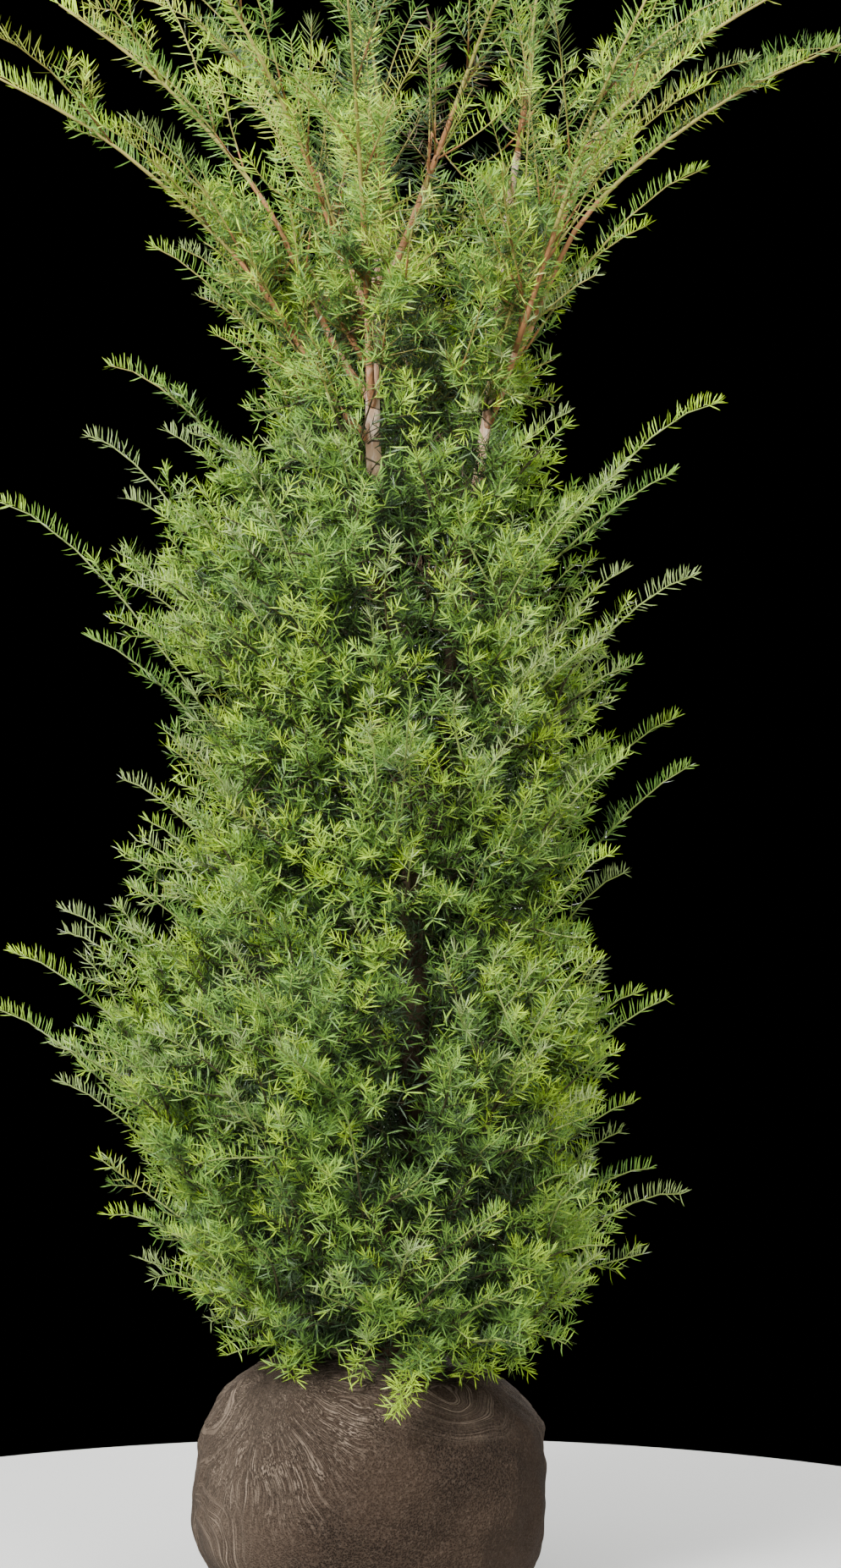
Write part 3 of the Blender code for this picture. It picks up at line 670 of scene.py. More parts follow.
def grow_vase(plant):
    """The long shoots on both sides of each vase mass's stem, by the solid model's rule."""
    for name, stem in plant.vase.items():
        draw = random.Random(name)
        paths = []
        for i in range(UPPER_SPRAYS):
            t = UPPER_FEET[0] + UPPER_FEET[1] * i / (UPPER_SPRAYS - 1)
            around = math.copysign(math.radians(draw.uniform(*UPPER_TURNS)), (i % 2) - 0.5)
            direction = leaving(stem, t, math.radians(draw.uniform(*UPPER_OPENS)), around) + UP * UPPER_RISE
            length = stem.length() * draw.uniform(*UPPER_LENGTH) * (SHORTER_ABOVE[0] - SHORTER_ABOVE[1] * t)
            end = stem.point(t) + direction.normalized() * length
            end.z = min(end.z, CROWN_TOP)
            paths.append(plant.spray(name, stem.point(t), end, UPPER_LIFT))
        end = stem.point(1) + stem.tangent(1) * UPPER_TIP_PASSES
        paths.append(plant.spray(name, stem.point(UPPER_TIP_FOOT), end, 0.0))
        for start, middle, end in (path.points for path in paths if path):
            bend = middle * 2 - (start + end) / 2 + UP * ((end - start).length * UPPER_ARCH)
            plant.add("plume", plant.names.index(name), [[start, bend, end]])
        for t in STEM_PLUMES:
            start, middle, end = (stem.point(t + step) for step in STEM_PLUME_STEPS)
            plant.add("plume", plant.names.index(name), [[start, middle * 2 - (start + end) / 2, end]])


def in_reach(point):
    """Whether a shoot may end here: inside the solid model's box, no further out than its longest shoots."""
    low, high = CAD_BOX
    inside = all(low[i] + BOX_CLEAR < point[i] < high[i] - BOX_CLEAR for i in range(3))
    return inside and from_axis(point) < crown_reach(point) * FURTHEST_REACH


def grow_vase_further(plant, shoots_each):
    """More long shoots on each vase mass, all round its stem."""
    for name, stem in plant.vase.items():
        draw = random.Random(name + " further")
        lines = []
        for i in range(shoots_each):
            t = FURTHER_FEET[0] + FURTHER_FEET[1] * i / shoots_each
            around = i * GOLDEN_ANGLE + draw.uniform(-FURTHER_STRAYS, FURTHER_STRAYS)
            opening = math.radians(draw.uniform(*FURTHER_OPENS))
            direction = leaving(stem, t, opening, around) + UP * FURTHER_RISE
            length = stem.length() * draw.uniform(*FURTHER_LENGTH) * (SHORTER_ABOVE[0] - SHORTER_ABOVE[1] * t)
            start = stem.point(t)
            end = start + direction.normalized() * length
            while not in_reach(end):
                end = start + (end - start) * FURTHER_SHORTENS
            lines.append((start, (start + end) / 2 + UP * ((end - start).length * FURTHER_ARCH), end))
        plant.add("plume", plant.names.index(name), lines)


def plume_tips(rng):
    """Where more plumes end, between the vase's own: upright ones round its axis."""
    height = rng.uniform(*PLUME_HEIGHTS, PLUMES_TRIED)
    turn = rng.uniform(0, math.tau, PLUMES_TRIED)
    away = PLUME_REACH * np.sqrt(rng.random(PLUMES_TRIED))
    points = np.stack([CROWN_AXIS.x + away * np.cos(turn), away * np.sin(turn), height], axis=1)
    return keep_apart(points, PLUMES_APART)


def keep_apart(points, spacing):
    """The points, taken in turn, that lie no nearer than the spacing to any that is kept before them."""
    cells, kept = {}, []
    steps = [(i, j, k) for i in (-1, 0, 1) for j in (-1, 0, 1) for k in (-1, 0, 1)]
    for index, point in enumerate(points.tolist()):
        x, y, z = (int(value // spacing) for value in point)
        near = (other for i, j, k in steps for other in cells.get((x + i, y + j, z + k), ()))
        if all(math.dist(point, other) >= spacing for other in near):
            cells.setdefault((x, y, z), []).append(point)
            kept.append(index)
    return points[kept]


def spread_points(rng, count, low, high, spacing, gaps=-1.0):
    """Points between two shares of the filled part's outline that keep a spacing, and none where the noise is
    under gaps.
    """
    height = rng.uniform(FILLED[0][0], FILL_ENDS, count)
    turn = rng.uniform(0, math.tau, count)
    share = np.sqrt(rng.uniform(low**2, high**2, count))
    away = share * outline_reach(FILLED, height, np.cos(turn))
    points = np.stack([CROWN_AXIS.x + away * np.cos(turn), away * np.sin(turn), height], axis=1)
    relief = np.array([noise.noise(Vector(point) / RELIEF_SIZE) for point in points]) * RELIEF
    points[:, :2] = (points[:, :2] - CROWN_AXIS[:2]) * (1 + relief[:, None]) + CROWN_AXIS[:2]
    fading = np.clip((FILL_ENDS - height) / (FILL_ENDS - FILL_FADES), 0, 1)
    radii, heights = np.array(BALL_SIDE)[::-1].T
    ball = np.interp(height, heights, radii) + BALL_CLEAR
    over_ball = (np.hypot(points[:, 0], points[:, 1]) > ball) | (height > BALL_TOP + BALL_CLEAR)
    made = keep_apart(points[(rng.random(count) < fading) & over_ball], spacing)
    return made[[noise.noise(Vector(point) / CLUMP_SIZE) > gaps for point in made]]


def grow_to(plant, rng, habit, targets, shortest, rise, outwards, upwards, bend=0.5):
    """Shoots that end at the targets, each from the best placed carrier of its mass: lines, masses, sprays.

    A carrier is best straight behind the target and lower than it by the rise. Outwards and upwards say how
    far a shoot's tip turns out from the crown's axis and up; low in the crown it turns down.
    """
    masses, nearest = plant.owners(targets)
    out = outward(targets)
    lines, owners = [], []
    all_points, all_ways, all_owners = plant.carriers()
    for mass in np.unique(masses):
        ends = targets[masses == mass]
        points, ways = all_points[all_owners == mass], all_ways[all_owners == mass]
        across = ends[:, None] - points[None]
        away = np.linalg.norm(across, axis=2)
        forward = (across * ways[None]).sum(axis=2) / np.maximum(away, TINY)
        lower = np.abs(across[:, :, 2] - rise)
        close = np.maximum(shortest - away, 0)
        cost = away * (SIDEWAYS_COST - forward) + close * CLOSE_COST + lower * HEIGHT_COST
        chosen = cost.argmin(axis=1)
        start, way = points[chosen], ways[chosen]
        apart = np.linalg.norm(ends - start, axis=1, keepdims=True)
        droop = np.clip((DROOP_BELOW - ends[:, 2:]) / DROOP_OVER, 0, 1)
        last = unit(
            unit(ends - nearest[masses == mass]) * FROM_STEM
            + out[masses == mass] * outwards
            + way * ONWARDS
            + rng.normal(0, TIP_STRAYS, ends.shape)
            + STRAIGHT_UP * (upwards * (1 - droop) - DROOP * droop)
        )
        lines.append(np.stack([start, ends - last * apart * bend, ends], axis=1))
        owners.append(np.full(len(ends), mass))
    lines, owners = np.concatenate(lines), np.concatenate(owners)
    return lines, owners, plant.add(habit, owners, lines)


def grow_round(plant, rng, carriers, each, longest):
    """Short shoots all round each carrying shoot, as in a plume, shorter towards its tip."""
    lines, masses, sprays = carriers
    for step in range(each):
        t = ROUND_FEET[0] + ROUND_FEET[1] * (step + rng.uniform(-0.3, 0.3, len(lines))) / each
        start, way = along(lines, t), heading(lines, t)
        side = unit(np.cross(NEARLY_UP, way))
        above = np.cross(way, side)
        around = (step * GOLDEN_ANGLE + rng.uniform(-0.5, 0.5, len(lines)))[:, None]
        opening = np.radians(rng.uniform(*ROUND_OPENS, len(lines)))[:, None]
        turned = way * np.cos(opening) + (side * np.cos(around) + above * np.sin(around)) * np.sin(opening)
        turned = unit(turned + outward(start) * ROUND_OUT + STRAIGHT_UP * ROUND_UP)
        taper = ROUND_TAPER[0] - ROUND_TAPER[1] * t
        size = (longest * taper * rng.uniform(*ROUND_SIZES, len(lines)))[:, None]
        end = start + turned * size
        kept = end[:, 2] < CROWN_TOP
        made = np.stack([start, start + (turned + way * 0.2) * size * 0.5, end], axis=1)
        plant.add("short", masses[kept], made[kept], sprays[kept])


def grow_side_twigs(plant, rng, carriers, each, reach, share):
    """Short shoots to both sides of the inner part of long ones, each with a chance of this share."""
    lines, masses, sprays = carriers
    length = np.linalg.norm(lines[:, 2] - lines[:, 0], axis=1)
    for step in range(each):
        t = TWIG_FROM + reach * step / each + rng.uniform(-0.02, 0.02, len(lines))
        start, way = along(lines, t), heading(lines, t)
        side = unit(np.cross(STRAIGHT_UP, way)) * (1 if step % 2 else -1)
        size = np.clip(length * TWIG_SHARE, *TWIG_LENGTHS) * (1.15 - t) * rng.uniform(*TWIG_SIZES, len(lines))
        strays = rng.normal(0, TWIG_STRAYS, start.shape)
        turned = unit(way * TWIG_ONWARDS + side * TWIG_ASIDE + strays + STRAIGHT_UP * TWIG_UP)
        end = start + turned * size[:, None]
        kept = (length > TWIG_CARRIERS_FROM) & (rng.random(len(lines)) < share) & (end[:, 2] < CROWN_TOP)
        made = np.stack([start, (start + end) / 2 - way * 0.1 * size[:, None], end], axis=1)
        plant.add("short", masses[kept], made[kept], sprays[kept])


def blank_material(name, roughness, sheen):
    """A new material and its shader."""
    made = bpy.data.materials.new(name)
    made.use_nodes = True
    shader = made.node_tree.nodes["Principled BSDF"]
    shader.inputs["Roughness"].default_value = roughness
    shader.inputs["Specular IOR Level"].default_value = sheen
    return made, shader


def material(name, colour, roughness):
    """A material of one plain colour."""
    made, shader = blank_material(name, roughness, SHEEN)
    shader.inputs["Base Color"].default_value = (*colour, 1)
    return made


# Needle tints from deep inside the plant to its newest tips, in linear light. The dark inner and deep tints,
# dealt to shoots deep inside the crown, stand partly for older needles and partly for painted shade.
NEEDLE_TINTS = {
    "needles_inner": (0.026, 0.050, 0.018),
    "needles_deep": (0.056, 0.114, 0.026),
    "needles_green": (0.104, 0.212, 0.036),
    "needles_fresh": (0.172, 0.312, 0.044),
    "needles_bright": (0.270, 0.425, 0.042),
    "needles_young": (0.370, 0.560, 0.026),
    "needles_grey": (0.158, 0.232, 0.074),
    "needles_pale": (0.250, 0.335, 0.112),
    "needles_olive": (0.290, 0.345, 0.050),
    "needles_withered": (0.075, 0.048, 0.026),
}
SHEEN, DULL_SHEEN, NEEDLE_ROUGHNESS, TWIG_ROUGHNESS = 0.24, 0.10, 0.45, 0.7
DARKER = np.array([0, 0, 1, 2, 3, 4, 2, 6, 3, 9])
LIGHTER = np.array([0, 2, 3, 4, 5, 5, 7, 7, 5, 9])
# Shares of each tint by how far out a shoot ends; the darker tints dealt further in are partly painted shade.
TINT_SHARES = (
    (0.64, (0.54, 0.26, 0.04, 0.00, 0.00, 0.00, 0.00, 0.00, 0.00, 0.16)),
    (0.86, (0.14, 0.34, 0.30, 0.18, 0.02, 0.00, 0.00, 0.00, 0.00, 0.02)),
    (1.06, (0.00, 0.04, 0.22, 0.36, 0.24, 0.09, 0.05, 0.00, 0.00, 0.00)),
    (9.00, (0.00, 0.04, 0.26, 0.40, 0.12, 0.00, 0.14, 0.04, 0.00, 0.00)),
)
UPPER_TINT_SHARES = (0.00, 0.16, 0.25, 0.12, 0.10, 0.04, 0.03, 0.00, 0.30, 0.00)
COMB_TINT_SHARES = (0.00, 0.00, 0.08, 0.24, 0.10, 0.00, 0.20, 0.30, 0.08, 0.00)
COMB_TINTS_FROM = 1.14
UPPER_FROM, UPPER_OUTSIDE, TINT_STRAYS = 1.64, 0.5, 0.07
FRONT_TINT_BELOW, FRONT_TINT_DEPTH, FRONT_TINT = 0.322, 0.03, 5
# Painted shade: below these heights shoots are dealt darker tints, as their draw is raised to these powers.
SHADED_HEIGHTS, SHADED_POWERS = (0.42, 0.90), (1.8, 1.0)


def outline_share(points):
    """How far out each point is, as a share of the filled part's outline."""
    apart = points - AXIS
    away = np.hypot(apart[:, 0], apart[:, 1])
    return away / outline_reach(FILLED, points[:, 2], apart[:, 0] / np.maximum(away, TINY))


def tints(rng, lines, habits, sprays):
    """The tint of each shoot, by how far out it ends, its kind and its height; those further in and lower
    down are dealt darker tints, partly as painted shade. A spray's are much alike.
    """
    ends = lines[:, 2]
    share = outline_share(ends)
    dealt = rng.random(sprays.max() + 1)[sprays] + rng.normal(0, TINT_STRAYS, len(lines))
    # Painted shade: low in the crown the draw is pushed towards the darker tints.
    dealt = (np.abs(dealt) % 1.0) ** np.interp(ends[:, 2], SHADED_HEIGHTS, SHADED_POWERS)
    tint = np.zeros(len(lines), int)
    low = -1.0
    for high, shares in TINT_SHARES:
        these = (share > low) & (share <= high)
        tint[these] = np.searchsorted(np.cumsum(shares), dealt[these])
        low = high
    upper = (ends[:, 2] > UPPER_FROM) & (share > UPPER_OUTSIDE)
    tint[upper] = np.searchsorted(np.cumsum(UPPER_TINT_SHARES), dealt[upper])
    combs = (habits == list(HABITS).index("comb")) & (share > COMB_TINTS_FROM)
    tint[combs] = np.searchsorted(np.cumsum(COMB_TINT_SHARES), dealt[combs])
    tint[(ends[:, 2] < FRONT_TINT_BELOW) & (ends[:, 1] < FRONT_SHOOT.y + FRONT_TINT_DEPTH)] = FRONT_TINT
    return np.minimum(tint, len(NEEDLE_TINTS) - 1)


def habit_values(key, habits):
    """What the habit of each shoot says under this key."""
    return np.array([habit[key] for habit in HABITS.values()])[habits]


def needle_arrays(rng, lines, habits, tint, wood):
    """The corners, faces and tints of all needles of these shoots, each a bent strip with a pointed end."""
    table = {key: habit_values(key, habits) for key in HABIT_KEYS}
    length = np.linalg.norm(lines[:, 2] - lines[:, 0], axis=1)
    count = np.maximum(FEWEST_NEEDLES, (length * (1 - table["bare"]) / table["spacing"]).astype(int))
    owner = np.repeat(np.arange(len(lines)), count)
    order = np.arange(len(owner)) - np.repeat(np.cumsum(count) - count, count)
    run = (order + rng.uniform(*PLACE_STRAYS, len(owner))) / count[owner]
    t = table["bare"][owner] + (1 - table["bare"][owner]) * (1 - (1 - run) ** TIP_CROWDING)
    here = lines[owner]
    place, way = along(here, t), heading(here, t)

    steep = np.clip((np.abs(way[:, 2:]) - STEEP_FROM) / STEEP_OVER, 0, 1)
    above = unit(STRAIGHT_UP * (1 - steep) + outward(place) * steep)
    side = unit(np.cross(above, way))
    above = np.cross(way, side)

    hand = np.where(order % 2, 1.0, -1.0)
    ranks = table["ranks"][owner]
    ranks = ranks + (STEEP_RANKS - ranks) * steep[:, 0] * STEEP_EVENS
    around = np.radians(hand * (ranks + rng.normal(0, 1, len(owner)) * table["spread"][owner]))
    loose = (rng.random(len(owner)) < table["loose"][owner]) | (run > TIP_TUFT)
    spiral = order * GOLDEN_ANGLE + rng.uniform(0, math.tau, len(lines))[owner]
    around = np.where(loose, spiral, around)
    opening = table["opens"][owner] + (table["closes"][owner] - table["opens"][owner]) * run**CLOSING
    opening = np.where(run > TIP_TUFT, rng.uniform(*TIP_OPENS, len(owner)), opening)
    opening = np.radians(opening + rng.normal(0, NEEDLE_STRAYS, len(owner)))[:, None]
    sideways = above * np.cos(around)[:, None] + side * np.sin(around)[:, None]
    rising = STRAIGHT_UP * table["rise"][owner][:, None] * (1 - STEEP_EVENS * steep)
    blade = unit(way * np.cos(opening) + sideways * np.sin(opening) + rising)
    swelling = np.sin(math.pi * np.clip(run * 0.9 + 0.1, 0, 1))
    size = table["needle"][owner] * (NEEDLE_LENGTHS[0] + NEEDLE_LENGTHS[1] * swelling)
    size = (size * rng.uniform(*NEEDLE_SIZES, len(owner)))[:, None]

    forward = unit(way - blade * (way * blade).sum(axis=1, keepdims=True))
    twist = rng.normal(0, 1, len(owner)) * table["twist"][owner]
    turn = np.radians(table["turned"][owner] * hand + twist)[:, None]
    flat = forward * np.cos(turn) + np.cross(blade, forward) * np.sin(turn)
    half = flat * table["width"][owner][:, None] / 2
    bend = forward * size * (NEEDLE_CURVE * rng.uniform(*NEEDLE_BENDS, len(owner)))[:, None]
    foot, shoulder = half * NEEDLE_FOOT, place + blade * size * NEEDLE_SHOULDER - bend
    tip = place + blade * size
    corners = np.stack([place - foot, place + foot, shoulder + half, shoulder - half, tip], axis=1)
    shade = tint[owner]
    shade = np.where(run < DARKER_UNTIL, DARKER[shade], np.where(run > LIGHTER_FROM, LIGHTER[shade], shade))
    shown = ~veiling(wood, shoulder) & ~veiling(wood, tip)
    corners, shade = corners[shown], shade[shown]
    first = np.arange(len(corners))[:, None] * 5
    faces = np.stack([first + [0, 1, 2], first + [0, 2, 3], first + [3, 2, 4]], axis=1).reshape(-1, 3)
    return corners.reshape(-1, 3), faces, np.repeat(shade, 3)


def veiling(wood, points):
    """Whether each point lies before the wood that shows in front."""
    before = np.zeros(len(points), bool)
    for (x, y, z), clear in wood:
        near = (points[:, 0] - x) ** 2 + (points[:, 2] - z) ** 2 < clear**2
        before |= near & (points[:, 1] < y)
    return before


def shown_wood(limbs, plant):
    """Points along the stretches of wood that show in front, each with how far round it stays clear."""
    points = []
    for name, low, high, clear in SHOWN_WOOD:
        paths = [limbs[name].path]
        if "foliage_top_" + name in plant.stems:
            paths.append(plant.stems["foliage_top_" + name])
        for path in paths:
            run = [path.point(t) for t in np.linspace(0, 1, 260)]
            points += [(point, clear) for point in run if low < point.z < high]
    return points


def tube_arrays(centres, radii, sides):
    """Closed round twigs with (twigs, rings, 3) centres: corners, faces, and how far along each face is."""
    twigs, rings, _ = centres.shape
    ways = unit(np.gradient(centres, axis=1))
    steep = np.abs(ways[..., 2:]) > 0.9
    side = unit(np.cross(np.where(steep, np.array(FRONT), STRAIGHT_UP), ways))
    above = np.cross(ways, side)
    angles = np.arange(sides) * math.tau / sides
    round_it = side[:, :, None] * np.cos(angles)[:, None] + above[:, :, None] * np.sin(angles)[:, None]
    corners = centres[:, :, None] + round_it * radii[:, :, None, None]
    ring = np.arange(rings - 1)[:, None] * sides
    now, then = np.arange(sides), (np.arange(sides) + 1) % sides
    walls = np.stack(
        [np.stack([ring + now, ring + then, ring + sides + then], axis=-1),
         np.stack([ring + now, ring + sides + then, ring + sides + now], axis=-1)],
        axis=2,
    ).reshape(-1, 3)
    fan = np.array([(0, i, i + 1) for i in range(1, sides - 1)])
    pattern = np.concatenate([walls, fan[:, ::-1], fan + (rings - 1) * sides])
    faces = (np.arange(twigs)[:, None, None] * rings * sides + pattern).reshape(-1, 3)
    share = np.concatenate(
        [np.repeat(np.arange(rings - 1) / (rings - 1), sides * 2), np.zeros(len(fan)), np.ones(len(fan))]
    )
    return corners.reshape(-1, 3), faces, np.tile(share, twigs)


def new_object(name, data):
    """A new object in the scene."""
    made = bpy.data.objects.new(name, data)
    bpy.context.scene.collection.objects.link(made)
    return made


def object_from_bmesh(name, bm, finish):
    """A new object with this shape and one material."""
    mesh = bpy.data.meshes.new(name)
    bm.to_mesh(mesh)
    bm.free()
    mesh.materials.append(finish)
    return new_object(name, mesh)


def stands_for(piece, slot, *nodes):
    """Lets a piece show in place of these solids."""
    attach(piece, "root")
    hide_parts(*nodes)


def object_from_arrays(name, corners, faces, slots, materials, smooth=False):
    mesh = bpy.data.meshes.new(name)
    mesh.vertices.add(len(corners))
    mesh.vertices.foreach_set("co", corners.astype(np.float32).ravel())
    mesh.loops.add(faces.size)
    mesh.loops.foreach_set("vertex_index", faces.astype(np.int32).ravel())
    mesh.polygons.add(len(faces))
    mesh.polygons.foreach_set("loop_start", np.arange(0, faces.size, 3, dtype=np.int32))
    for finish in materials:
        mesh.materials.append(finish)
    mesh.polygons.foreach_set("material_index", slots.astype(np.int32))
    mesh.update(calc_edges=True)
    if smooth:
        mesh.shade_smooth()
    return new_object(name, mesh)


class Shade:
    """A shader socket. An expression on it adds Math nodes, and node() adds any other node to its tree."""

    def __init__(self, tree, socket=None):
        self.tree, self.socket = tree, socket

    def node(self, kind, inputs, output=0, **settings):
        made = self.tree.nodes.new("ShaderNode" + kind)
        for key, value in settings.items():
            setattr(made, key, value)
        for key, value in inputs.items():
            if isinstance(value, Shade):
                self.tree.links.new(value.socket, made.inputs[key])
            else:
                made.inputs[key].default_value = value
        return Shade(self.tree, made.outputs[output])

    def math(self, operation, *values):
        return self.node("Math", dict(enumerate(values)), operation=operation)

    def __add__(self, other):
        return self.math("ADD", self, other)

    def __sub__(self, other):
        return self.math("SUBTRACT", self, other)

    def __rsub__(self, other):
        return self.math("SUBTRACT", other, self)

    def __mul__(self, other):
        return self.math("MULTIPLY", self, other)

    __radd__, __rmul__ = __add__, __mul__

    def vector(self, operation, *values, output=0):
        """Vector Math on this and other vectors."""
        inputs = dict(enumerate((self, *values)))
        return self.node("VectorMath", inputs, output=output, operation=operation)

    def scaled(self, size):
        return self.node("VectorMath", {0: self, "Scale": size}, operation="SCALE")

    def noise(self, scale, detail, roughness=0.5, output=0):
        """Noise at this place."""
        inputs = {0: self, "Scale": scale, "Detail": detail, "Roughness": roughness}
        return self.node("TexNoise", inputs, output=output)

    def mix(self, first, second):
        """The colour between two others at this share."""
        return self.node("Mix", {0: self, 6: first, 7: second}, output=2, data_type="RGBA")

    def between(self, low, high):
        """0 where this is at low or less and 1 where it is at high or more, with a soft step."""
        return self.node("MapRange", {0: self, 1: low, 2: high}, interpolation_type="SMOOTHSTEP")


def finish_from(name, colour, height, roughness, depth):
    """A material whose colour and height are shader expressions of the object's coordinates."""
    made, shader = blank_material(name, roughness, DULL_SHEEN)
    tree = made.node_tree
    place = Shade(tree).node("TexCoord", {}, output="Object")
    bump = place.node("Bump", {"Height": height(place), "Distance": depth, "Strength": 0.9})
    tree.links.new(colour(place).socket, shader.inputs["Base Color"])
    tree.links.new(bump.socket, shader.inputs["Normal"])
    return made


# The bark is painted dark inside the column, as shade, and shows its own tints above it, over these heights.
# The kinds above are a name and three tints: where a scale has come off, worn, and the scales.
BARK_SHADE_FADES, PAINTED_SHADE_BARK = (1.36, 1.44), (0.046, 0.030, 0.018, 1)
OLD_BARK = ("old_bark", (0.420, 0.250, 0.145), (0.560, 0.390, 0.240), (0.720, 0.580, 0.430))
YOUNG_BARK = ("young_bark", (0.360, 0.160, 0.065), (0.440, 0.220, 0.105), (0.540, 0.340, 0.210))

# Limbs: sides and rings of the thick ones and of the others; the bark's grain across and along, its ridges as
# (rate, share of the radius), and the lobes where a limb flares above the plain radius
THICK_LIMBS, THICK_MESH, THIN_MESH = ("trunk", "second_leader"), (24, 220), (12, 30)
BARK_GRAIN_ACROSS, BARK_GRAIN_ALONG, BARK_RIDGES = 130, 26, ((1, 0.10), (2.7, 0.05))
BARK_UNDER, LOBES, LOBES_TURN, LOBE_HEIGHT, LOBES_FROM, LOBES_OVER = 0.97, 3, 0.6, 0.14, 0.022, 0.015


def bark_material(name, fresh, worn, scale_tips):
    """Thin scaly bark, drawn out lengthways: two tints where a scale has come off, and a third over them;
    inside the column all is painted over with one dark tint as shade.
    """

    def scales(place):
        drawn = place.node("Mapping", {0: place, 3: (1.0, 1.0, 0.28)})
        return drawn.noise(85.0, 6.0, 0.65)

    def colour(place):
        patches = place.noise(22.0, 3.0).between(0.40, 0.62)
        unshaded = scales(place).between(0.46, 0.60).mix(patches.mix((*fresh, 1), (*worn, 1)), (*scale_tips, 1))
        # Painted shade: below these heights, inside the column, the bark takes one dark tint instead of its
        # own.
        height = place.node("SeparateXYZ", {0: place}, output=2)
        return height.between(*BARK_SHADE_FADES).mix(PAINTED_SHADE_BARK, unshaded)

    return finish_from(name, colour, scales, 0.80, 0.004)


CAMERA_PLACE, CAMERA_AWAY, SENSOR_HEIGHT, VIEW_HEIGHT = (0.061, -4.5, 1.037), 4.5, 24.0, 1.983
FLOOR_RADIUS, FLOOR_UNDER = 1.15, 0.001
LIGHTS_AIM = Vector((0, 0, 1.25))
LIGHTS = (
    ("key", (-1.6, -2.8, 3.0), 1.3, 400),
    ("fill", (1.9, -3.2, 2.2), 1.8, 100),
    ("back", (0.3, 3.6, 2.6), 1.8, 190),
    ("left", (-3.2, 0.9, 2.2), 1.4, 40),
    ("right", (3.2, 0.9, 2.2), 1.4, 40),
    ("overhead", (0, -0.4, 4.2), 1.6, 120),
)


def make_camera():
    data = bpy.data.cameras.new("camera")
    data.sensor_fit, data.sensor_height = "VERTICAL", SENSOR_HEIGHT
    data.lens = SENSOR_HEIGHT * CAMERA_AWAY / VIEW_HEIGHT
    camera = new_object("camera", data)
    camera.location = CAMERA_PLACE
    camera.rotation_euler = (math.pi / 2, 0, 0)
    bpy.context.scene.camera = camera


def make_light(name, place, size, power):
    data = bpy.data.lights.new(name, "AREA")
    data.shape, data.size, data.energy = "DISK", size, power
    light = new_object(name, data)
    light.location = place
    light.rotation_euler = (LIGHTS_AIM - Vector(place)).to_track_quat("-Z", "Y").to_euler()


def make_studio():
    """A plain pale floor and soft light from all round, strongest from the front left and above."""
    bm = bmesh.new()
    bmesh.ops.create_circle(bm, cap_ends=True, radius=FLOOR_RADIUS, segments=128)
    floor = object_from_bmesh("floor", bm, material("floor", (0.62, 0.62, 0.60), 0.7))
    floor.location.z = -FLOOR_UNDER
    world = bpy.data.worlds.new("studio")
    world.use_nodes = True
    world.node_tree.nodes["Background"].inputs["Color"].default_value = (0.0, 0.0, 0.0, 1)
    bpy.context.scene.world = world
    for row in LIGHTS:
        make_light(*row)


def bark_limb(limb, sides, rings, finish):
    """A limb whose bark stands out in long low ridges and scales, with lobes where it flares at its foot."""
    bm = bmesh.new()
    bmesh.ops.create_cone(bm, cap_ends=True, segments=sides, radius1=1, radius2=1, depth=1)
    long_edges = [e for e in bm.edges if abs(e.verts[0].co.z - e.verts[1].co.z) > 0.5]
    bmesh.ops.subdivide_edges(bm, edges=long_edges, cuts=rings - 1, use_grid_fill=True)
    length = limb.path.length()
    for v in bm.verts:
        t = v.co.z + 0.5
        radius = limb.radius(t)
        across = [value * radius * BARK_GRAIN_ACROSS for value in v.co.xy]
        grain = Vector((*across, t * length * BARK_GRAIN_ALONG))
        ridge = sum(noise.noise(grain * rate) * height for rate, height in BARK_RIDGES)
        turn = math.atan2(v.co.y, v.co.x)
        flare = max(0.0, (radius - LOBES_FROM) / LOBES_OVER)
        lobes = LOBE_HEIGHT * math.cos(LOBES * turn + LOBES_TURN) * flare
        swollen = radius * (BARK_UNDER + ridge + lobes)
        v.co = limb.path.frame(t) @ Vector((v.co.x * swollen, v.co.y * swollen, 0))
    made = object_from_bmesh("bark_of_" + limb.name, bm, finish)
    made.data.shade_smooth()
    made.data.set_sharp_from_angle(angle=math.radians(50))
    return made


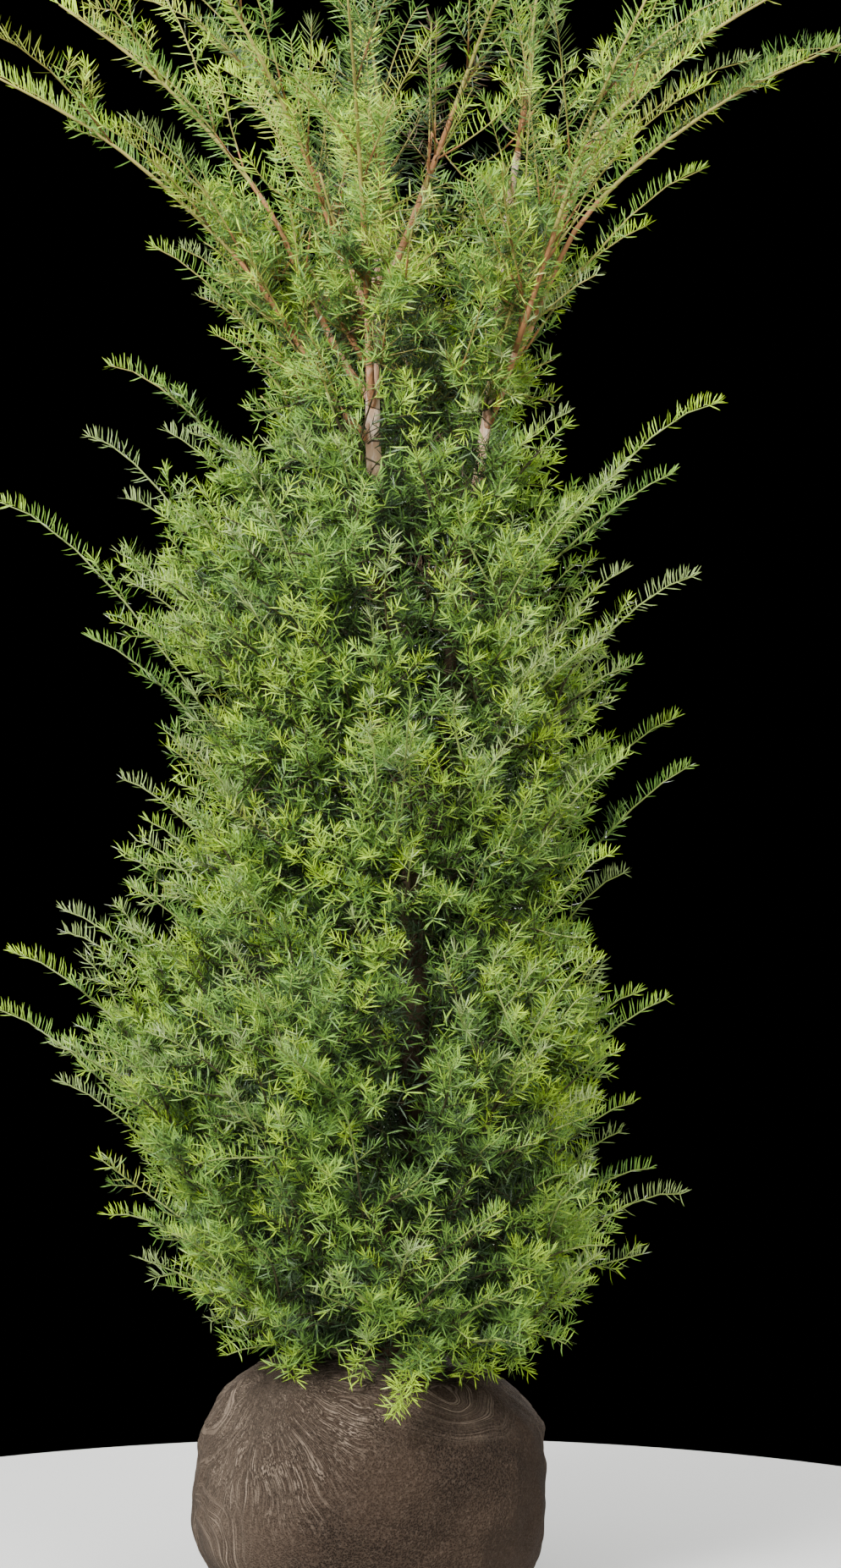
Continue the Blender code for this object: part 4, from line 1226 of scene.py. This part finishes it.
def net_material():
    """Brown knitted net over soil: a fine knit, pale threads drawn to where the net was gathered, and painted
    light on its left side.
    """

    def threads_along(place, across):
        """Thin irregular streaks in bundles, along which the vector `across` stays the same."""
        both = place.scaled(7.5).vector("ADD", across)
        bundles = both.scaled(0.22).noise(1.0, 1.0).between(0.40, 0.60)
        return both.noise(1.0, 2.0, 0.6).between(0.44, 0.58) * (bundles * 0.70 + 0.30)

    def wavering(place):
        """The place, moved a little by noise."""
        apart = place.noise(8.0, 2.0, output=1).vector("SUBTRACT", (0.5, 0.5, 0.5))
        return place.vector("ADD", apart.scaled(0.060))

    def threads(place, kind, centre, near, far, share):
        """Streaks that spread from a centre or run round it, between two distances with soft ends."""
        away = place.vector("DISTANCE", centre, output="Value")
        ending = away.between(far * (1 - NET_ENDS_OVER), far)
        shown = away.between(near, near + NET_STARTS_OVER) * (1 - ending)
        if kind == "round":
            across = place.node("CombineXYZ", {0: away * 760.0})
        else:
            across = place.vector("SUBTRACT", centre).vector("NORMALIZE").scaled(100.0)
        return threads_along(place, across) * shown * share

    def drawn(place):
        """All threads; where some cross, the strongest shows."""
        moved = wavering(place)
        made = threads(moved, *NET_THREADS[0])
        for row in NET_THREADS[1:]:
            made = made.math("MAXIMUM", made, threads(moved, *row))
        return made * (patches(moved, 17.0) * 0.6 + 0.4)

    def knit(place):
        return place.node("TexVoronoi", {0: place, "Scale": 420.0}).between(0.15, 0.75)

    def patches(place, scale):
        return place.noise(scale, 5.0, 0.6).between(0.36, 0.64)

    def specks(place):
        return place.noise(260.0, 2.0).between(0.50, 0.70)

    def colour(place):
        soil = patches(place, 8.0).mix((0.007, 0.0042, 0.0028, 1), (0.028, 0.0178, 0.0118, 1))
        knitted = (knit(place) * 0.60).mix(soil, (0.051, 0.0345, 0.0235, 1))
        strung = (drawn(place) * 0.95 + specks(place) * 0.08).mix(knitted, (0.275, 0.210, 0.156, 1))
        # Painted light: towards the left side, where the key light falls, the net is mixed a little towards a
        # pale tint.
        aside = place.node("SeparateXYZ", {0: place}, output=0)
        return ((1 - aside.between(-0.20, -0.04)) * 0.09).mix(strung, (0.260, 0.200, 0.150, 1))

    def height(place):
        return drawn(place) * 0.9 + knit(place) * 0.25 + patches(place, 8.0) * 0.4

    return finish_from("brown_net_over_soil", colour, height, 0.85, 0.004)


def net_folds(point):
    """How far the net's folds and creases stand out of the ball here."""
    made = 0.0
    for kind, centre, near, far, share in NET_THREADS:
        apart = point - Vector(centre)
        away = apart.length
        starts, ends = (away - near) / NET_STARTS_OVER, (far - away) / (far * NET_ENDS_OVER)
        strength = min(1.0, max(0.0, starts), max(0.0, ends))
        across = Vector((away * FOLDS_ROUND, 0, 0)) if kind == "round" else apart.normalized() * FOLDS_FROM
        made += noise.noise(across + point * FOLDS_STRAY) * strength * share
    return made * FOLD_HEIGHT


def make_ball(finish):
    """The net-wrapped ball: the solid's profile made smooth, with its swell, dents and drawn folds."""
    bm = bmesh.new()
    side = Path([(r, 0, z) for r, z in BALL_SIDE])
    outline = [side.point(i / BALL_RINGS) for i in range(BALL_RINGS + 1)]
    top = [Vector((0, 0, BALL_TOP)), Vector((BALL_TOP_RING, 0, BALL_TOP))]
    profile = [*top, *outline, Vector((BALL_UNDERSIDE_RING, 0, 0)), Vector()]
    for point in profile:
        point.z = min(max(point.z, 0.0), BALL_TOP)
    verts = [bm.verts.new(point) for point in profile]
    edges = [bm.edges.new(pair) for pair in zip(verts, verts[1:])]
    whole = {"axis": UP, "cent": (0, 0, 0), "angle": math.tau, "steps": BALL_STEPS, "use_merge": True}
    bmesh.ops.spin(bm, geom=[*verts, *edges], **whole)
    bmesh.ops.remove_doubles(bm, verts=bm.verts, dist=0.0001)
    bmesh.ops.recalc_face_normals(bm, faces=bm.faces)
    for v in bm.verts:
        lumps = sum(noise.noise(v.co * rate) * height for rate, height in BALL_LUMPS)
        swell = 1 + BALL_SWELL * noise.noise(v.co / BALL_SWELL_SIZE)
        away = math.hypot(v.co.x, v.co.y)
        out = Vector((v.co.x, v.co.y, 0)).normalized() if away > TINY else Vector()
        v.co.x *= swell
        v.co.y *= swell
        rim = min(1.0, v.co.z / 0.03, max(0.0, (away - 0.09) / 0.04))
        v.co += out * ((lumps + net_folds(v.co)) * rim)
        v.co.z -= SHOULDER_DROP * max(0.0, v.co.x) * max(0.0, (v.co.z - SHOULDER_FROM) / SHOULDER_RISE)
        if v.co.z > BALL_TOP - 0.02:
            dent = TOP_DENTS * (0.5 + noise.noise(v.co * TOP_DENT_RATE))
            v.co.z -= dent * min(1.0, max(0.0, (away - BALL_TOP_RING) / 0.04))
    made = object_from_bmesh("net_wrapped_ball", bm, finish)
    made.data.shade_smooth()
    return made


def groups(names):
    """The masses whose needles and twigs are joined: each tier, and the vase's left, middle and right."""
    made = {}
    for index, name in enumerate(names):
        tier = name.split("_")[1]
        if tier == "top":
            way = name.removeprefix("foliage_top_")
            part = "left" if "left" in way else "right" if way.startswith("right") else "middle"
            tier = f"vase_{part}"
        made.setdefault(tier, []).append(index)
    return made


# Twigs are painted dark inside the crown as shade, green where they leave it, and brown to olive in the vase
TWIG_TINTS = {
    "shaded_twig": (0.050, 0.042, 0.018),
    "green_twig": (0.230, 0.290, 0.075),
    "brown_twig": (0.300, 0.140, 0.055),
    "olive_twig": (0.250, 0.220, 0.055),
}
TWIG_GREEN_FROM, TWIG_BROWN_ABOVE = 0.98, 1.52
STEM_BROWN_TO, SHOOT_BROWN_TO, LONG_SHOOT_RINGS = 0.32, 0.08, 6
SHOOT_TAPER, SHOOT_SIDES = (1.25, 0.8), 3
PLANT_SEED, NEEDLE_SEED = 3, 7


def twig_slots(places, run, brown_to):
    """Which of the twig tints each face takes, by its place and by how far along its shoot or stem it is."""
    outer = outline_share(places) > TWIG_GREEN_FROM
    upper = np.where(run < brown_to, 2, 3)
    return np.where(places[:, 2] > TWIG_BROWN_ABOVE, upper, outer.astype(int))


def twig_arrays(plant, members, lines, habits):
    """The corners, faces and tints of the twigs of these shoots, and of the masses' own stems."""
    rings, radius = habit_values("rings", habits), habit_values("radius", habits)[:, None]
    parts = []
    for count in np.unique(rings):
        kind = rings == count
        steps = np.linspace(0, 1, count)
        centres = np.stack([along(lines[kind], t) for t in steps], axis=1)
        brown_to = SHOOT_BROWN_TO if count == LONG_SHOOT_RINGS else 0.0
        radii = radius[kind] * (SHOOT_TAPER[0] - SHOOT_TAPER[1] * steps)
        parts.append((*tube_arrays(centres, radii, SHOOT_SIDES), brown_to))
    for index in members:
        stem = plant.stems[plant.names[index]]
        points = np.array([[stem.point(i / (STEM_RINGS - 1)) for i in range(STEM_RINGS)]])
        radii = np.linspace(STEM_RADIUS, STEM_TIP_RADIUS, STEM_RINGS)[None]
        parts.append((*tube_arrays(points, radii, STEM_SIDES), STEM_BROWN_TO))
    corners, faces, slots = [], [], []
    for part_corners, part_faces, run, brown_to in parts:
        faces.append(part_faces + sum(len(made) for made in corners))
        corners.append(part_corners)
        slots.append(twig_slots(part_corners[part_faces].mean(axis=1), run, brown_to))
    return np.concatenate(corners), np.concatenate(faces), np.concatenate(slots)


def join_foliage(plant, wood):
    """Needles and twigs of all shoots as a few joined pieces that replace the masses."""
    rng = np.random.default_rng(NEEDLE_SEED)
    lines, masses, habits, sprays = plant.shoots()
    tint = tints(rng, lines, habits, sprays)
    needle_finishes = [material(*row, NEEDLE_ROUGHNESS) for row in NEEDLE_TINTS.items()]
    twig_finishes = [material(*row, TWIG_ROUGHNESS) for row in TWIG_TINTS.items()]
    for tier, members in groups(plant.names).items():
        these = np.isin(masses, members)
        needles = needle_arrays(rng, lines[these], habits[these], tint[these], wood)
        needles = object_from_arrays(f"needles_{tier}", *needles, needle_finishes)
        twigs = twig_arrays(plant, members, lines[these], habits[these])
        twigs = object_from_arrays(f"twigs_{tier}", *twigs, twig_finishes, smooth=True)
        nodes = [plant.names[index] for index in members]
        stands_for(needles, "yew_needles", *nodes)
        stands_for(twigs, "yew_bark", *nodes)


def build():
    make_camera()
    make_studio()
    limbs = make_limbs()
    plant = Plant(*lay_out_stems(limbs))
    rng = np.random.default_rng(PLANT_SEED)
    grow_vase(plant)
    grow_vase_further(plant, shoots_each=2)
    plumes, masses, _, sprays = plant.shoots()
    combs = grow_combs(plant, rng, column_tips(plant) + side_tips(plant))
    grow_side_twigs(plant, rng, (plumes, masses, sprays), each=7, reach=0.36, share=0.55)
    grow_side_twigs(plant, rng, combs, each=6, reach=0.50, share=0.8)
    tips = plume_tips(rng)
    grow_to(plant, rng, "plume", tips, shortest=0.15, rise=0.15, outwards=0.25, upwards=1.0, bend=0.40)
    tips = spread_points(rng, 30000, low=0.62, high=0.99, spacing=0.050, gaps=CLUMP_GAPS)
    tufts = grow_to(plant, rng, "branchlet", tips, shortest=0.06, rise=0.05, outwards=0.35, upwards=0.7)
    tips = spread_points(rng, 5000, low=1.00, high=1.24, spacing=0.068)
    edge = grow_to(plant, rng, "comb", tips, shortest=0.12, rise=0.10, outwards=0.8, upwards=0.40, bend=0.35)
    grow_round(plant, rng, tufts, each=7, longest=0.046)
    grow_round(plant, rng, edge, each=4, longest=0.036)
    grow_front_shoot(plant, rng)
    tips = spread_points(rng, 90000, low=0.10, high=0.86, spacing=0.031)
    grow_to(plant, rng, "inner", tips, shortest=0.035, rise=0.01, outwards=0.35, upwards=0.3)

    old_bark, young_bark = bark_material(*OLD_BARK), bark_material(*YOUNG_BARK)
    for limb in limbs.values():
        thick = limb.name in THICK_LIMBS
        piece = bark_limb(limb, *(THICK_MESH if thick else THIN_MESH), old_bark if thick else young_bark)
        stands_for(piece, "yew_bark", limb.name)
    stands_for(make_ball(net_material()), "soil_in_brown_net", "root_ball")
    join_foliage(plant, shown_wood(limbs, plant))


build()
